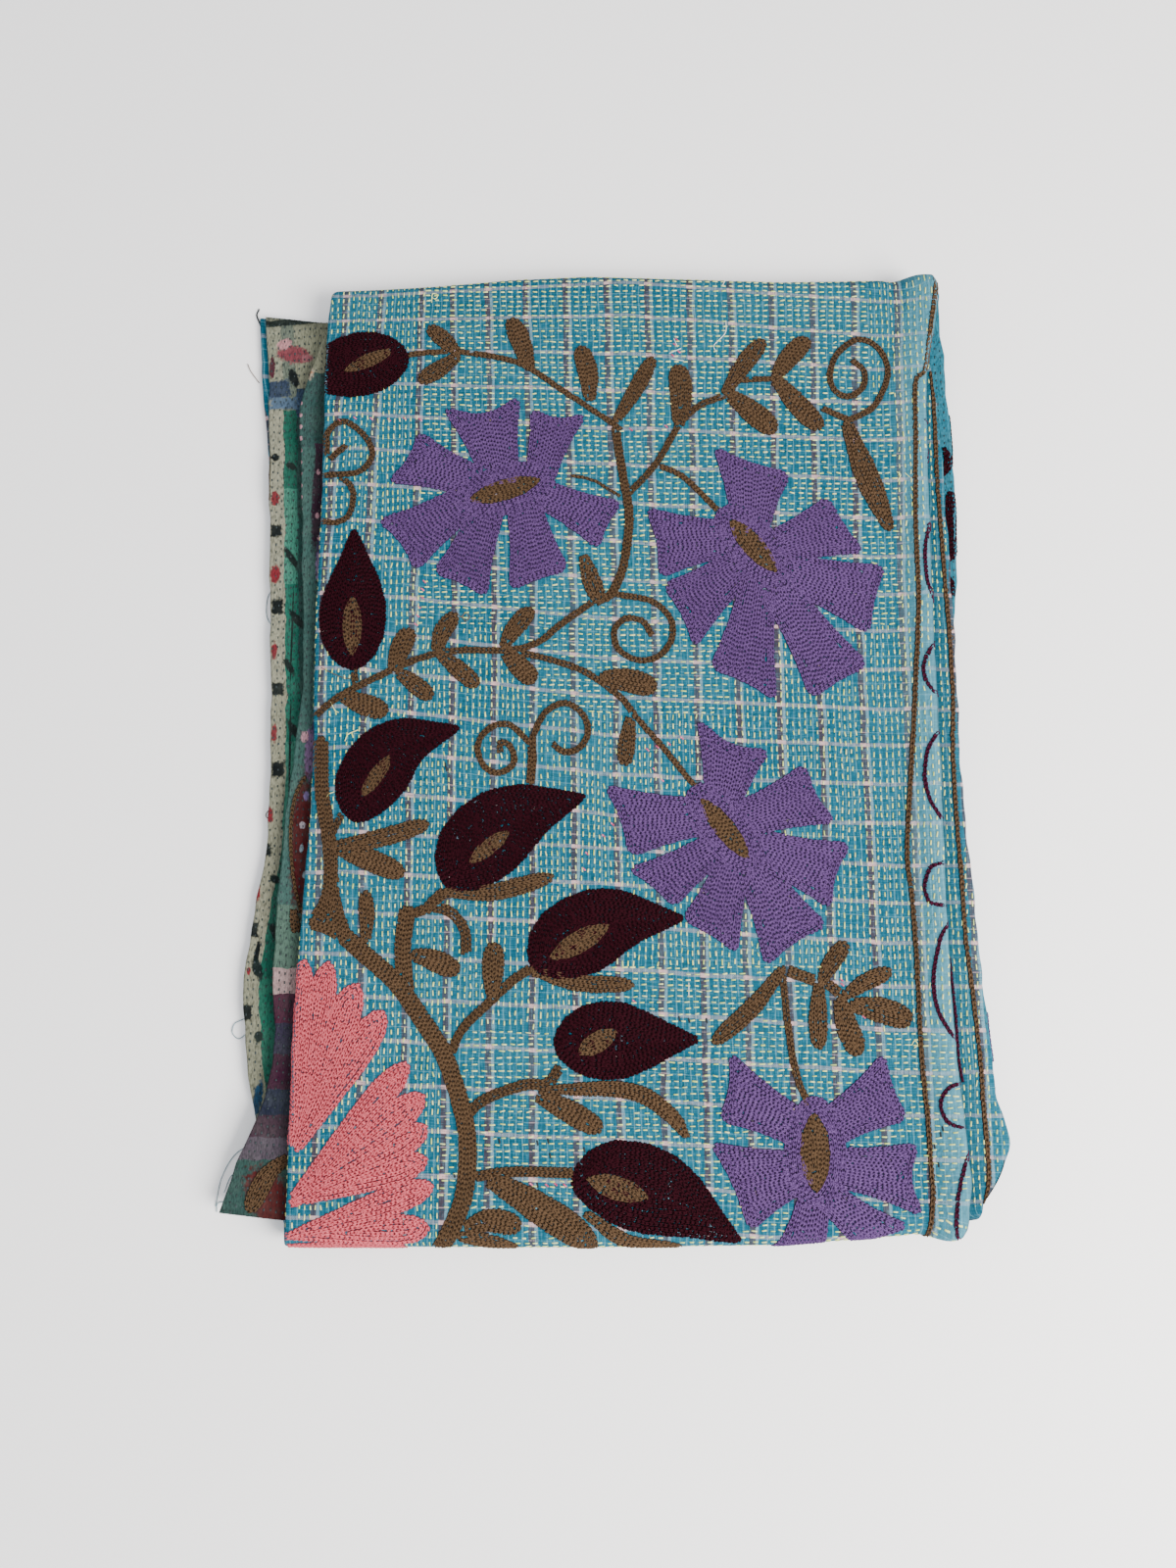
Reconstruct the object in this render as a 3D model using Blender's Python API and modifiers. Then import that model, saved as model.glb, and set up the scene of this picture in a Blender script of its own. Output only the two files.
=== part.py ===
"""A kantha quilt, folded away: one stitched cloth, nine layers high.

The cloth is folded in three across its width, back and forth, and that strip is then
folded in three along its length, with both outer thirds turned under the middle one.
Its right border has one more narrow pleat on the top panel, so that the border shows twice.

Every layer keeps its own level in the stack, and the tables below say how far each fold
and hem reaches to the left and right, panel by panel. Lengths are in millimetres here,
and the object is made in metres, +Z up, with +Y along the quilt's long side.
"""
import math
from collections import namedtuple

import bpy

MM = 0.001

# ---------------------------------------------------------------- driving dimensions
CLOTH = 2.0             # thickness of the stitched layers of old cotton
LAYER_PITCH = 3.0       # from one layer to the next, in the middle of the stack
EDGE_PITCH = 2.78       # the same at the pressed edges
EDGE_ZONE = 48.0        # width of the zone where the stack thins towards its edges
WAVE = 0.06             # uneven rise of each layer over the one below
FAR_REACH = 355.3       # how far the top panel's far fold reaches along +Y
NEAR_REACH = -355.4     # and its near fold along -Y
PLEAT_DEPTH = 5.0       # flat part of the border's pleat between its two bends
PLEAT_RAMP = 30.0       # width over which the top layer climbs on to the pleat
FOLD_STEPS = 5          # facets round a fold
TURN_STEPS = 7          # facets round the near and far turns of the whole strip

# ---------------------------------------------------------------- the folded panels
# Each row is a section across the quilt at y. From the front of the strip to its back:
#   left_fold    where the front layer turns under at the left
#   pleat        where the border's pleat turns under at the right
#   right_hem    the hem at the end of the front layer
#   right_fold   where the middle layer turns under at the right
#   left_hem     the hem at the end of the back layer
Section = namedtuple("Section", "y left_fold pleat right_hem right_fold left_hem")

TOP_PANEL = [                                       # from its near end to its far end
    Section(-343.0, -222.0, 241.5, 252.0, 246.0, -212.0),
    Section(-327.0, -222.0, 243.8, 263.0, 252.0, -210.0),
    Section(-310.0, -222.0, 243.0, 270.5, 261.0, -206.0),
    Section(-262.0, -221.4, 239.6, 265.0, 258.0, -207.0),
    Section(-210.0, -221.0, 236.4, 259.8, 253.0, -207.0),
    Section(-140.0, -218.4, 234.6, 256.6, 250.0, -205.0),
    Section(-37.0, -213.6, 234.5, 250.3, 246.0, -201.0),
    Section(70.0, -214.8, 233.6, 249.5, 245.0, -203.0),
    Section(182.0, -213.3, 234.1, 246.6, 244.0, -200.0),
    Section(245.0, -213.5, 235.1, 244.0, 242.0, -201.0),
    Section(290.0, -213.6, 237.8, 240.5, 240.0, -201.0),
    Section(316.0, -213.2, 243.6, 241.5, 240.0, -200.0),
    Section(346.7, -211.0, 247.6, 245.0, 243.0, -198.0),
]
MIDDLE_PANEL = [                                    # from its far end to its hem
    Section(346.7, -201.0, 247.0, 244.0, 246.5, -207.0),
    Section(310.0, -211.0, 247.0, 246.0, 253.0, -219.0),
    Section(268.0, -222.0, 248.0, 248.0, 254.8, -231.5),
    Section(190.0, -222.5, 248.0, 250.0, 257.8, -230.0),
    Section(125.0, -220.5, 248.0, 250.0, 256.6, -227.5),
    Section(39.0, -217.0, 246.0, 244.0, 249.3, -224.5),
    Section(-55.0, -225.0, 246.0, 243.0, 247.5, -233.0),
    Section(-161.0, -231.0, 247.0, 252.0, 259.5, -238.4),
    Section(-243.0, -231.0, 247.0, 258.0, 266.5, -238.0),
    Section(-303.0, -252.0, 247.0, 254.0, 261.0, -259.0),
    Section(-336.0, -262.0, 244.0, 244.0, 248.0, -269.5),
]
BOTTOM_PANEL = [                                    # from its far hem to its near end
    Section(325.0, -270.4, 246.0, 236.0, 243.0, -264.5),
    Section(270.0, -266.0, 246.0, 240.0, 248.0, -260.0),
    Section(225.0, -260.5, 246.0, 242.0, 251.0, -258.0),
    Section(115.0, -250.5, 246.0, 242.0, 250.0, -253.4),
    Section(-33.0, -245.5, 244.0, 238.0, 243.0, -248.0),
    Section(-80.0, -246.0, 244.0, 240.0, 246.0, -248.6),
    Section(-126.0, -252.6, 244.0, 244.0, 251.0, -255.2),
    Section(-180.0, -258.6, 245.0, 249.0, 257.0, -261.2),
    Section(-230.0, -254.4, 246.0, 253.0, 261.0, -256.8),
    Section(-270.0, -247.0, 246.0, 252.0, 259.0, -249.6),
    Section(-308.0, -238.0, 244.0, 248.0, 254.0, -238.0),
    Section(-343.0, -228.0, 242.0, 246.0, 247.0, -220.0),
]

# How far the near and far folds and the two end hems stand back from a straight line,
# as (x, set-back towards the middle of the quilt).
NEAR_SET_BACK = [(-222.0, 0.6), (-16.0, 0.0), (115.0, 1.6), (162.0, 5.0),
                 (202.0, 8.0), (240.0, 16.5), (270.0, 21.0)]
FAR_SET_BACK = [(-222.0, 12.5), (-175.0, 10.8), (-127.0, 7.8), (-76.0, 3.0),
                (-16.0, 0.0), (60.0, 2.4), (132.0, 4.6), (206.0, 3.2), (238.0, 9.8),
                (270.0, 10.0)]
BOTTOM_HEM_SET_BACK = [(-270.0, -4.5), (-222.0, 1.4), (0.0, 10.0), (270.0, 14.0)]
MIDDLE_HEM_SET_BACK = [(-270.0, 4.0), (-228.0, -1.0), (-16.0, -1.0), (115.0, 1.6),
                       (162.0, 5.0), (202.0, 8.0), (240.0, 16.5), (270.0, 21.0)]
SET_BACK_ZONE = 170.0   # an end's set-back fades out over this length

# Levels in the stack, counted in layers from the floor, of the strip's back layer.
BOTTOM_LEVEL = 2
MIDDLE_LEVEL = 5
TOP_LEVEL = 6

FRONT_STEPS = 7         # cells across the front layer, left of the pleat's ramp
RAMP_STEPS = 4
INNER_STEPS = 5         # cells across the middle and back layers
HEM_STEPS = 2           # cells across the border strip past the pleat

CLOTH_BLUE = (0.062, 0.345, 0.445, 1.0)


def ease(share):
    """0 to 1 with a soft start and end."""
    share = min(max(share, 0.0), 1.0)
    return share * share * (3.0 - 2.0 * share)


def between(table, x):
    """A value read from a table of (x, value), in straight steps between its rows."""
    if x <= table[0][0]:
        return table[0][1]
    for (x0, low), (x1, high) in zip(table, table[1:]):
        if x <= x1:
            return low + (high - low) * (x - x0) / (x1 - x0)
    return table[-1][1]


def pitch_at(x, y):
    """The step from layer to layer: thinner near the pressed edges, a little uneven."""
    reach = min(x + 222.0, 248.0 - x, FAR_REACH - y, y - NEAR_REACH)
    crown = EDGE_PITCH + (LAYER_PITCH - EDGE_PITCH) * ease(reach / EDGE_ZONE)
    uneven = math.sin(x / 61.0 + 0.7) * math.sin(y / 83.0 - 0.4) + 0.6 * math.sin((x + y) / 47.0)
    return crown + WAVE * uneven * ease(reach / EDGE_ZONE)


def pleat_curve(opening, radius):
    """The pleat from the border strip to the front layer, as (x, height) steps.

    opening goes from 0, folded flat, to 1, spread out. Both bends keep their length.
    """
    angle = math.pi * (1.0 - opening)
    bend = math.pi * radius
    step_angle = angle / FOLD_STEPS
    chord = bend / FOLD_STEPS
    if step_angle > 1e-6:
        chord *= math.sin(step_angle / 2.0) / (step_angle / 2.0)
    runs = [(math.pi - step_angle * (i + 0.5), chord) for i in range(FOLD_STEPS)]
    runs.append((math.pi - angle, PLEAT_DEPTH))
    runs += [(math.pi - angle + step_angle * (i + 0.5), chord) for i in range(FOLD_STEPS)]
    x, height = 0.0, 0.0
    points = [(x, height)]
    for heading, length in runs:
        x += length * math.cos(heading)
        height += length * math.sin(heading)
        points.append((x, height))
    middle = (points[FOLD_STEPS][0] + points[FOLD_STEPS + 1][0]) / 2.0
    return [(px - middle, pz) for px, pz in points]


def fold_curve(x, low, high, side, radius):
    """A fold from one level to the next, bulging to side (+1 right, -1 left) as far as x."""
    centre = x - side * (radius + CLOTH / 2.0)
    points = []
    for i in range(FOLD_STEPS + 1):
        turn = math.pi * i / FOLD_STEPS
        level = (low + high) / 2.0 - (high - low) / 2.0 * math.cos(turn)
        points.append((centre + side * radius * math.sin(turn), level))
    return points


def run(start, end, level, steps, last=False):
    """Evenly spaced points along a flat stretch of one layer."""
    count = steps + 1 if last else steps
    return [(start + (end - start) * i / steps, level) for i in range(count)]


def across(section, opening, pitch):
    """The section across the strip, as (x, level), from the right hem to the left hem."""
    radius = pitch / 2.0
    pleat_x = section.pleat - CLOTH / 2.0 - radius - PLEAT_DEPTH / 2.0
    pleat = [(pleat_x + px, 2.0 + pz / pitch) for px, pz in pleat_curve(opening, radius)]
    top = pleat[-1][1]
    hem = max(section.right_hem, pleat[0][0] + 4.0)
    points = run(hem, pleat[0][0], 2.0, HEM_STEPS) + pleat[:-1]
    ramp_end = pleat[-1][0] - PLEAT_RAMP
    for i in range(RAMP_STEPS):
        share = i / RAMP_STEPS
        points.append((pleat[-1][0] - PLEAT_RAMP * share, top + (2.0 - top) * ease(share)))
    left = fold_curve(section.left_fold, 2.0, 1.0, -1, radius)
    points += run(ramp_end, left[0][0], 2.0, FRONT_STEPS) + left[:-1]
    right = fold_curve(section.right_fold, 1.0, 0.0, 1, radius)
    points += run(left[-1][0], right[0][0], 1.0, INNER_STEPS) + right[:-1]
    points += run(right[-1][0], section.left_hem, 0.0, INNER_STEPS, last=True)
    return points


def blend(a, b, share):
    """The section between two others."""
    return Section(*(p + (q - p) * share for p, q in zip(a, b)))


def end_shift(x, y, near, far):
    """How far a point moves along Y because the panel's ends aren't straight."""
    near_share = 1.0 - ease((y - NEAR_REACH) / SET_BACK_ZONE)
    far_share = 1.0 - ease((FAR_REACH - y) / SET_BACK_ZONE)
    return near_share * between(near, x) - far_share * between(far, x)


def flat_row(section, back_level, side, near, far, opening):
    """One row of points in a panel.

    side is +1 where the front is up and -1 where the strip is turned over; opening is 0
    where the border's pleat is folded and 1 where it lies spread out.
    """
    points = []
    for x, level in across(section, opening, pitch_at(0.0, section.y)):
        height = CLOTH / 2.0 + (back_level + side * level) * pitch_at(x, section.y)
        points.append((x, section.y + end_shift(x, section.y, near, far), height))
    return points


def turn_row(section, share, inner, centre_level, side, set_back):
    """One row of points round a turn of the whole strip, from the top panel down.

    inner is the radius of the strip's back layer, in layers; side is +1 at the far end.
    """
    angle = math.pi * share
    opening = ease(share / 0.85)
    pitch = pitch_at(0.0, section.y)
    points = []
    for x, level in across(section, opening, pitch):
        here = pitch_at(x, section.y)
        out = (inner + level) * here
        y = section.y + side * out * math.sin(angle) - side * between(set_back, x)
        points.append((x, y, CLOTH / 2.0 + centre_level * here + out * math.cos(angle)))
    return points


def folded_rows():
    """All rows of the cloth's middle surface, from the bottom panel's hem to the middle one's."""
    rows = [flat_row(s, BOTTOM_LEVEL, -1, NEAR_SET_BACK, BOTTOM_HEM_SET_BACK, 1.0)
            for s in BOTTOM_PANEL]
    near_top, near_low = TOP_PANEL[0], BOTTOM_PANEL[-1]
    for i in range(TURN_STEPS - 1, 0, -1):
        share = i / TURN_STEPS
        section = blend(near_top, near_low, ease(share))
        rows.append(turn_row(section, share, 2.0, 4.0, -1, NEAR_SET_BACK))
    rows += [flat_row(s, TOP_LEVEL, 1, NEAR_SET_BACK, FAR_SET_BACK, 0.0) for s in TOP_PANEL]
    far_top, far_low = TOP_PANEL[-1], MIDDLE_PANEL[0]
    for i in range(1, TURN_STEPS):
        share = i / TURN_STEPS
        section = blend(far_top, far_low, ease(share))
        rows.append(turn_row(section, share, 0.5, 5.5, 1, FAR_SET_BACK))
    rows += [flat_row(s, MIDDLE_LEVEL, -1, MIDDLE_HEM_SET_BACK, FAR_SET_BACK, 1.0)
             for s in MIDDLE_PANEL]
    return rows


def cloth_material():
    material = bpy.data.materials.new("stitched_cotton")
    material.use_nodes = True
    shader = material.node_tree.nodes["Principled BSDF"]
    shader.inputs["Base Color"].default_value = CLOTH_BLUE
    shader.inputs["Roughness"].default_value = 0.9
    shader.inputs["Metallic"].default_value = 0.0
    return material


def make_quilt(collection):
    """A flat grid, laid along the folds and given the cloth's thickness."""
    rows = folded_rows()
    across_cells, along_cells = len(rows[0]) - 1, len(rows) - 1
    bpy.ops.mesh.primitive_grid_add(x_subdivisions=across_cells, y_subdivisions=along_cells)
    quilt = bpy.context.object
    quilt.name = quilt.data.name = "quilt"
    for vertex in quilt.data.vertices:
        column = round((vertex.co.x + 1.0) / 2.0 * across_cells)
        row = round((vertex.co.y + 1.0) / 2.0 * along_cells)
        vertex.co = [length * MM for length in rows[row][column]]
    quilt.data.materials.append(cloth_material())
    thicken = quilt.modifiers.new("cloth", "SOLIDIFY")
    thicken.thickness = CLOTH * MM
    thicken.offset = 0.0
    thicken.use_even_offset = True
    for holder in list(quilt.users_collection):
        holder.objects.unlink(quilt)
    collection.objects.link(quilt)
    quilt.data.shade_smooth()
    return quilt


def main():
    for item in list(bpy.data.objects):
        bpy.data.objects.remove(item)
    collection = bpy.data.collections.new("kantha_quilt")
    bpy.context.scene.collection.children.link(collection)
    make_quilt(collection)


main()
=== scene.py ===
"""A kantha quilt folded away: its check cotton front, patchwork back and hems, the chain-stitch
embroidery, the running stitches that hold the layers together, and its loose threads.

Lengths are in millimetres until a mesh is made. Objects are in metres, +Z up, +Y along the
folded quilt's long side.
"""
import math
from collections import namedtuple

import bpy
import numpy as np
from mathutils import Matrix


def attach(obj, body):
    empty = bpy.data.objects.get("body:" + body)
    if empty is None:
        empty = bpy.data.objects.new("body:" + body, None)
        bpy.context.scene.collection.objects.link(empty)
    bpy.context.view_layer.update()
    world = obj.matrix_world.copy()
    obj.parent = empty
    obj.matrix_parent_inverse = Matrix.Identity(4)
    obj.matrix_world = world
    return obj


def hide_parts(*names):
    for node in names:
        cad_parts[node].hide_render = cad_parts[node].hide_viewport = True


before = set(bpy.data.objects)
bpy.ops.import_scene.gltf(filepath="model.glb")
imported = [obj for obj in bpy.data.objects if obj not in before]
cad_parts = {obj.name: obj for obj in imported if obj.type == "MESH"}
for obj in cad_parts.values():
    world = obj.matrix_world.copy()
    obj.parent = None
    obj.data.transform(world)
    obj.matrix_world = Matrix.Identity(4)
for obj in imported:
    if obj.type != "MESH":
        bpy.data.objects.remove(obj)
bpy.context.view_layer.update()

MM = 0.001
TAU = 2.0 * math.pi
chance = np.random.default_rng(20)

# ---------------------------------------------------------------- the view
FRAME_WIDE, FRAME_HIGH = 1200, 1600     # the image, in its own units
LENS_REACH = 1156.0                     # distance to the image, in the same units
EYE = (-16.4, -143.4, 824.7)
TILT = math.radians(7.6)                # the camera looks down, this far off the vertical

# Heights above the floor of the faces that show, in mm.
TOP_FACE, PLEAT_FACE, BORDER_FACE = 27.0, 31.0, 26.0
MIDDLE_LEDGE, NEAR_LEDGE, BOTTOM_LEDGE = 15.0, 12.0, 7.0
THREAD_ON_FLOOR = 0.5


def seen(u, v, height=TOP_FACE):
    """x, y of the place that the camera sees at (u, v) of its image, at a height above the floor."""
    right, up = (u - FRAME_WIDE / 2) / LENS_REACH, (FRAME_HIGH / 2 - v) / LENS_REACH
    along_y = up * math.cos(TILT) + math.sin(TILT)
    down = up * math.sin(TILT) - math.cos(TILT)
    reach = (height - EYE[2]) / down
    return EYE[0] + reach * right, EYE[1] + reach * along_y


def chart(places, height=TOP_FACE):
    """Places of the image, as an array of x, y on the quilt."""
    return np.array([seen(u, v, height) for u, v in places])


UNIT = 0.70                             # mm on the quilt's top for one unit of the image

# ---------------------------------------------------------------- the folded cloth
CLOTH = 2.0             # thickness of the stitched layers of old cotton
LAYER_PITCH = 3.0       # from one layer to the next, in the middle of the stack
EDGE_PITCH = 2.78       # the same at the pressed edges
EDGE_ZONE = 48.0        # how far in from an edge the stack is pressed thinner
WAVE = 0.06             # how much the pitch wavers about its mean
FAR_REACH, NEAR_REACH = 355.3, -355.4       # y of the far and near ends
RIGHT_REACH, LEFT_REACH = 248.0, -222.0     # x of the right and left edges of the stack
PLEAT_DEPTH = 5.0       # the flat part of the pleat, tucked under between its two bends
PLEAT_RAMP = 30.0       # how far to the left of the pleat the front rises up to it

Section = namedtuple("Section", "y left_fold pleat right_hem right_fold left_hem")

TOP_PANEL = [                                       # from its near end to its far end
    Section(-343.0, -222.0, 241.5, 252.0, 246.0, -212.0),
    Section(-327.0, -222.0, 243.8, 263.0, 252.0, -210.0),
    Section(-310.0, -222.0, 243.0, 270.5, 261.0, -206.0),
    Section(-262.0, -221.4, 239.6, 265.0, 258.0, -207.0),
    Section(-210.0, -221.0, 236.4, 259.8, 253.0, -207.0),
    Section(-140.0, -218.4, 234.6, 256.6, 250.0, -205.0),
    Section(-37.0, -213.6, 234.5, 250.3, 246.0, -201.0),
    Section(70.0, -214.8, 233.6, 249.5, 245.0, -203.0),
    Section(182.0, -213.3, 234.1, 246.6, 244.0, -200.0),
    Section(245.0, -213.5, 235.1, 244.0, 242.0, -201.0),
    Section(290.0, -213.6, 237.8, 240.5, 240.0, -201.0),
    Section(316.0, -213.2, 243.6, 241.5, 240.0, -200.0),
    Section(346.7, -211.0, 247.6, 245.0, 243.0, -198.0),
]
MIDDLE_PANEL = [                                    # from its far end to its hem
    Section(346.7, -201.0, 247.0, 244.0, 246.5, -207.0),
    Section(310.0, -211.0, 247.0, 246.0, 253.0, -219.0),
    Section(268.0, -222.0, 248.0, 248.0, 254.8, -231.5),
    Section(190.0, -222.5, 248.0, 250.0, 257.8, -230.0),
    Section(125.0, -220.5, 248.0, 250.0, 256.6, -227.5),
    Section(39.0, -217.0, 246.0, 244.0, 249.3, -224.5),
    Section(-55.0, -225.0, 246.0, 243.0, 247.5, -233.0),
    Section(-161.0, -231.0, 247.0, 252.0, 259.5, -238.4),
    Section(-243.0, -231.0, 247.0, 258.0, 266.5, -238.0),
    Section(-303.0, -252.0, 247.0, 254.0, 261.0, -259.0),
    Section(-336.0, -262.0, 244.0, 244.0, 248.0, -269.5),
]
BOTTOM_PANEL = [                                    # from its far hem to its near end
    Section(325.0, -270.4, 246.0, 236.0, 243.0, -264.5),
    Section(270.0, -266.0, 246.0, 240.0, 248.0, -260.0),
    Section(225.0, -260.5, 246.0, 242.0, 251.0, -258.0),
    Section(115.0, -250.5, 246.0, 242.0, 250.0, -253.4),
    Section(-33.0, -245.5, 244.0, 238.0, 243.0, -248.0),
    Section(-80.0, -246.0, 244.0, 240.0, 246.0, -248.6),
    Section(-126.0, -252.6, 244.0, 244.0, 251.0, -255.2),
    Section(-180.0, -258.6, 245.0, 249.0, 257.0, -261.2),
    Section(-230.0, -254.4, 246.0, 253.0, 261.0, -256.8),
    Section(-270.0, -247.0, 246.0, 252.0, 259.0, -249.6),
    Section(-308.0, -238.0, 244.0, 248.0, 254.0, -238.0),
    Section(-343.0, -228.0, 242.0, 246.0, 247.0, -220.0),
]

# How far the near and far folds and the two end hems stand back from a straight line,
# as (x, set-back towards the middle of the quilt).
NEAR_SET_BACK = [(-222.0, 0.6), (-16.0, 0.0), (115.0, 1.6), (162.0, 5.0),
                 (202.0, 8.0), (240.0, 16.5), (270.0, 21.0)]
FAR_SET_BACK = [(-222.0, 12.5), (-175.0, 10.8), (-127.0, 7.8), (-76.0, 3.0),
                (-16.0, 0.0), (60.0, 2.4), (132.0, 4.6), (206.0, 3.2), (238.0, 9.8),
                (270.0, 10.0)]
BOTTOM_HEM_SET_BACK = [(-270.0, -4.5), (-222.0, 1.4), (0.0, 10.0), (270.0, 14.0)]
MIDDLE_HEM_SET_BACK = [(-270.0, 4.0), (-228.0, -1.0), (-16.0, -1.0), (115.0, 1.6),
                       (162.0, 5.0), (202.0, 8.0), (240.0, 16.5), (270.0, 21.0)]
SET_BACK_ZONE = 170.0   # how far from an end its set-back fades out

BOTTOM_LEVEL, MIDDLE_LEVEL, TOP_LEVEL = 2, 5, 6     # the level of each panel's back layer
PLEAT_OPEN_BY = 0.85    # the share of a turn by which the pleat has spread out
LEAST_BORDER = 4.0      # width of the border strip past the pleat, at its narrowest
CALM_ZONE = 30.0        # hems and folds stop wavering this far from a panel's ends

FOLD_STEPS = 8          # facets round a fold
HEM_STEPS = 6           # cells across the border strip past the pleat
RAMP_STEPS = 10
FRONT_STEPS = 76        # cells across the front layer, left of the pleat's ramp
INNER_STEPS = 10        # cells across the middle layer
BACK_STEPS = 32         # cells across the back layer, closest at its two edges
TOP_ROWS, MIDDLE_ROWS, BOTTOM_ROWS = 132, 60, 60
FAR_TURN_ROWS, NEAR_TURN_ROWS = 10, 12


def ease(share):
    """0 to 1 with a soft start and end."""
    share = min(max(share, 0.0), 1.0)
    return share * share * (3.0 - 2.0 * share)


def between(table, x):
    """A value read from a table of (x, value), on straight lines between its rows."""
    return float(np.interp(x, [row[0] for row in table], [row[1] for row in table]))


def pitch_at(x, y):
    """The step from layer to layer: thinner near the pressed edges, a little uneven."""
    reach = min(x - LEFT_REACH, RIGHT_REACH - x, FAR_REACH - y, y - NEAR_REACH)
    crown = EDGE_PITCH + (LAYER_PITCH - EDGE_PITCH) * ease(reach / EDGE_ZONE)
    uneven = math.sin(x / 61.0 + 0.7) * math.sin(y / 83.0 - 0.4) + 0.6 * math.sin((x + y) / 47.0)
    rumple = 0.5 * math.sin(x / 23.0 + 1.3 * math.sin(y / 41.0)) * math.sin(y / 29.0 + 0.6)
    return crown + WAVE * (uneven + rumple) * ease(reach / EDGE_ZONE)


def pleat_curve(opening, radius):
    """The border's pleat as points (x, height); opening is 0 folded flat and 1 spread out."""
    angle = math.pi * (1.0 - opening)
    step_angle = angle / FOLD_STEPS
    chord = math.pi * radius / FOLD_STEPS
    if step_angle > 1e-6:
        chord *= math.sin(step_angle / 2.0) / (step_angle / 2.0)
    runs = [(math.pi - step_angle * (i + 0.5), chord) for i in range(FOLD_STEPS)]
    runs.append((math.pi - angle, PLEAT_DEPTH))
    runs += [(math.pi - angle + step_angle * (i + 0.5), chord) for i in range(FOLD_STEPS)]
    x, height = 0.0, 0.0
    points = [(x, height)]
    for heading, length in runs:
        x += length * math.cos(heading)
        height += length * math.sin(heading)
        points.append((x, height))
    middle = (points[FOLD_STEPS][0] + points[FOLD_STEPS + 1][0]) / 2.0
    return [(px - middle, pz) for px, pz in points]


def fold_curve(x, low, high, side, radius):
    """A fold from one level to the next, bulging to side (+1 right, -1 left) as far as x."""
    centre = x - side * (radius + CLOTH / 2.0)
    points = []
    for i in range(FOLD_STEPS + 1):
        turn = math.pi * i / FOLD_STEPS
        level = (low + high) / 2.0 - (high - low) / 2.0 * math.cos(turn)
        points.append((centre + side * radius * math.sin(turn), level))
    return points


def run(start, end, level, steps, last=False, gather=0.0):
    """Points along a flat stretch of one layer; gather draws them towards its two ends."""
    shares = np.linspace(0.0, 1.0, steps + 1)
    shares = shares * (1.0 - gather) + gather * (0.5 - 0.5 * np.cos(math.pi * shares))
    return [(start + (end - start) * share, level) for share in shares[:None if last else -1]]


def across(section, opening, pitch):
    """The section across the strip, as (x, level), from the right hem to the left hem."""
    radius = pitch / 2.0
    pleat_x = section.pleat - CLOTH / 2.0 - radius - PLEAT_DEPTH / 2.0
    pleat = [(pleat_x + px, 2.0 + pz / pitch) for px, pz in pleat_curve(opening, radius)]
    top = pleat[-1][1]
    hem = max(section.right_hem, pleat[0][0] + LEAST_BORDER)
    points = run(hem, pleat[0][0], 2.0, HEM_STEPS) + pleat[:-1]
    ramp_end = pleat[-1][0] - PLEAT_RAMP
    for i in range(RAMP_STEPS):
        share = i / RAMP_STEPS
        points.append((pleat[-1][0] - PLEAT_RAMP * share, top + (2.0 - top) * ease(share)))
    left = fold_curve(section.left_fold, 2.0, 1.0, -1, radius)
    points += run(ramp_end, left[0][0], 2.0, FRONT_STEPS) + left[:-1]
    right = fold_curve(section.right_fold, 1.0, 0.0, 1, radius)
    points += run(left[-1][0], right[0][0], 1.0, INNER_STEPS, gather=1.0) + right[:-1]
    points += run(right[-1][0], section.left_hem, 0.0, BACK_STEPS, last=True, gather=1.0)
    return points


CREASE = HEM_STEPS + 3 * FOLD_STEPS // 2 + 1       # the column along the pleat's outer fold
FRONT_MIDDLE = HEM_STEPS + 2 * FOLD_STEPS + 1 + RAMP_STEPS + FRONT_STEPS // 2
BACK_START = (HEM_STEPS + 2 * FOLD_STEPS + 1 + RAMP_STEPS + FRONT_STEPS + FOLD_STEPS
              + INNER_STEPS + FOLD_STEPS // 2)


def blend(a, b, share):
    """The section between two others."""
    return Section(*(p + (q - p) * share for p, q in zip(a, b)))


def sections(table, count):
    """Sections at even places down a table, on smooth curves, with hems and folds that waver."""
    rows = np.array(table)
    way = 1.0 if rows[-1, 0] > rows[0, 0] else -1.0
    slopes = np.gradient(rows, rows[:, 0], axis=0)
    place = np.linspace(rows[0, 0], rows[-1, 0], count)
    first = np.searchsorted(way * rows[:, 0], way * place, side="right") - 1
    first = np.clip(first, 0, len(rows) - 2)
    low, high = rows[first], rows[first + 1]
    span = high[:, :1] - low[:, :1]
    t = (place[:, None] - low[:, :1]) / span
    curve = ((2 * t**3 - 3 * t**2 + 1) * low + (t**3 - 2 * t**2 + t) * span * slopes[first]
             + (3 * t**2 - 2 * t**3) * high + (t**3 - t**2) * span * slopes[first + 1])
    calm = np.clip(np.minimum(place - place.min(), place.max() - place) / CALM_ZONE, 0.0, 1.0)
    for column in range(1, 6):
        waver = (0.45 * np.sin(place / 9.7 + 2.1 * column)
                 + 0.35 * np.sin(place / 4.6 + 1.3 * column + 0.02 * place))
        curve[:, column] += waver * calm * (0.5 if column in (1, 2) else 1.0)
    return [Section(*row) for row in curve]


def flat_row(section, back_level, side, near, far, opening):
    """One row of points in a panel, and how far each is moved along Y by the uneven ends."""
    near_share = 1.0 - ease((section.y - NEAR_REACH) / SET_BACK_ZONE)
    far_share = 1.0 - ease((FAR_REACH - section.y) / SET_BACK_ZONE)
    points, shifts = [], []
    for x, level in across(section, opening, pitch_at(0.0, section.y)):
        shift = near_share * between(near, x) - far_share * between(far, x)
        height = CLOTH / 2.0 + (back_level + side * level) * pitch_at(x, section.y)
        points.append((x, section.y + shift, height))
        shifts.append(shift)
    return points, shifts


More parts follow.
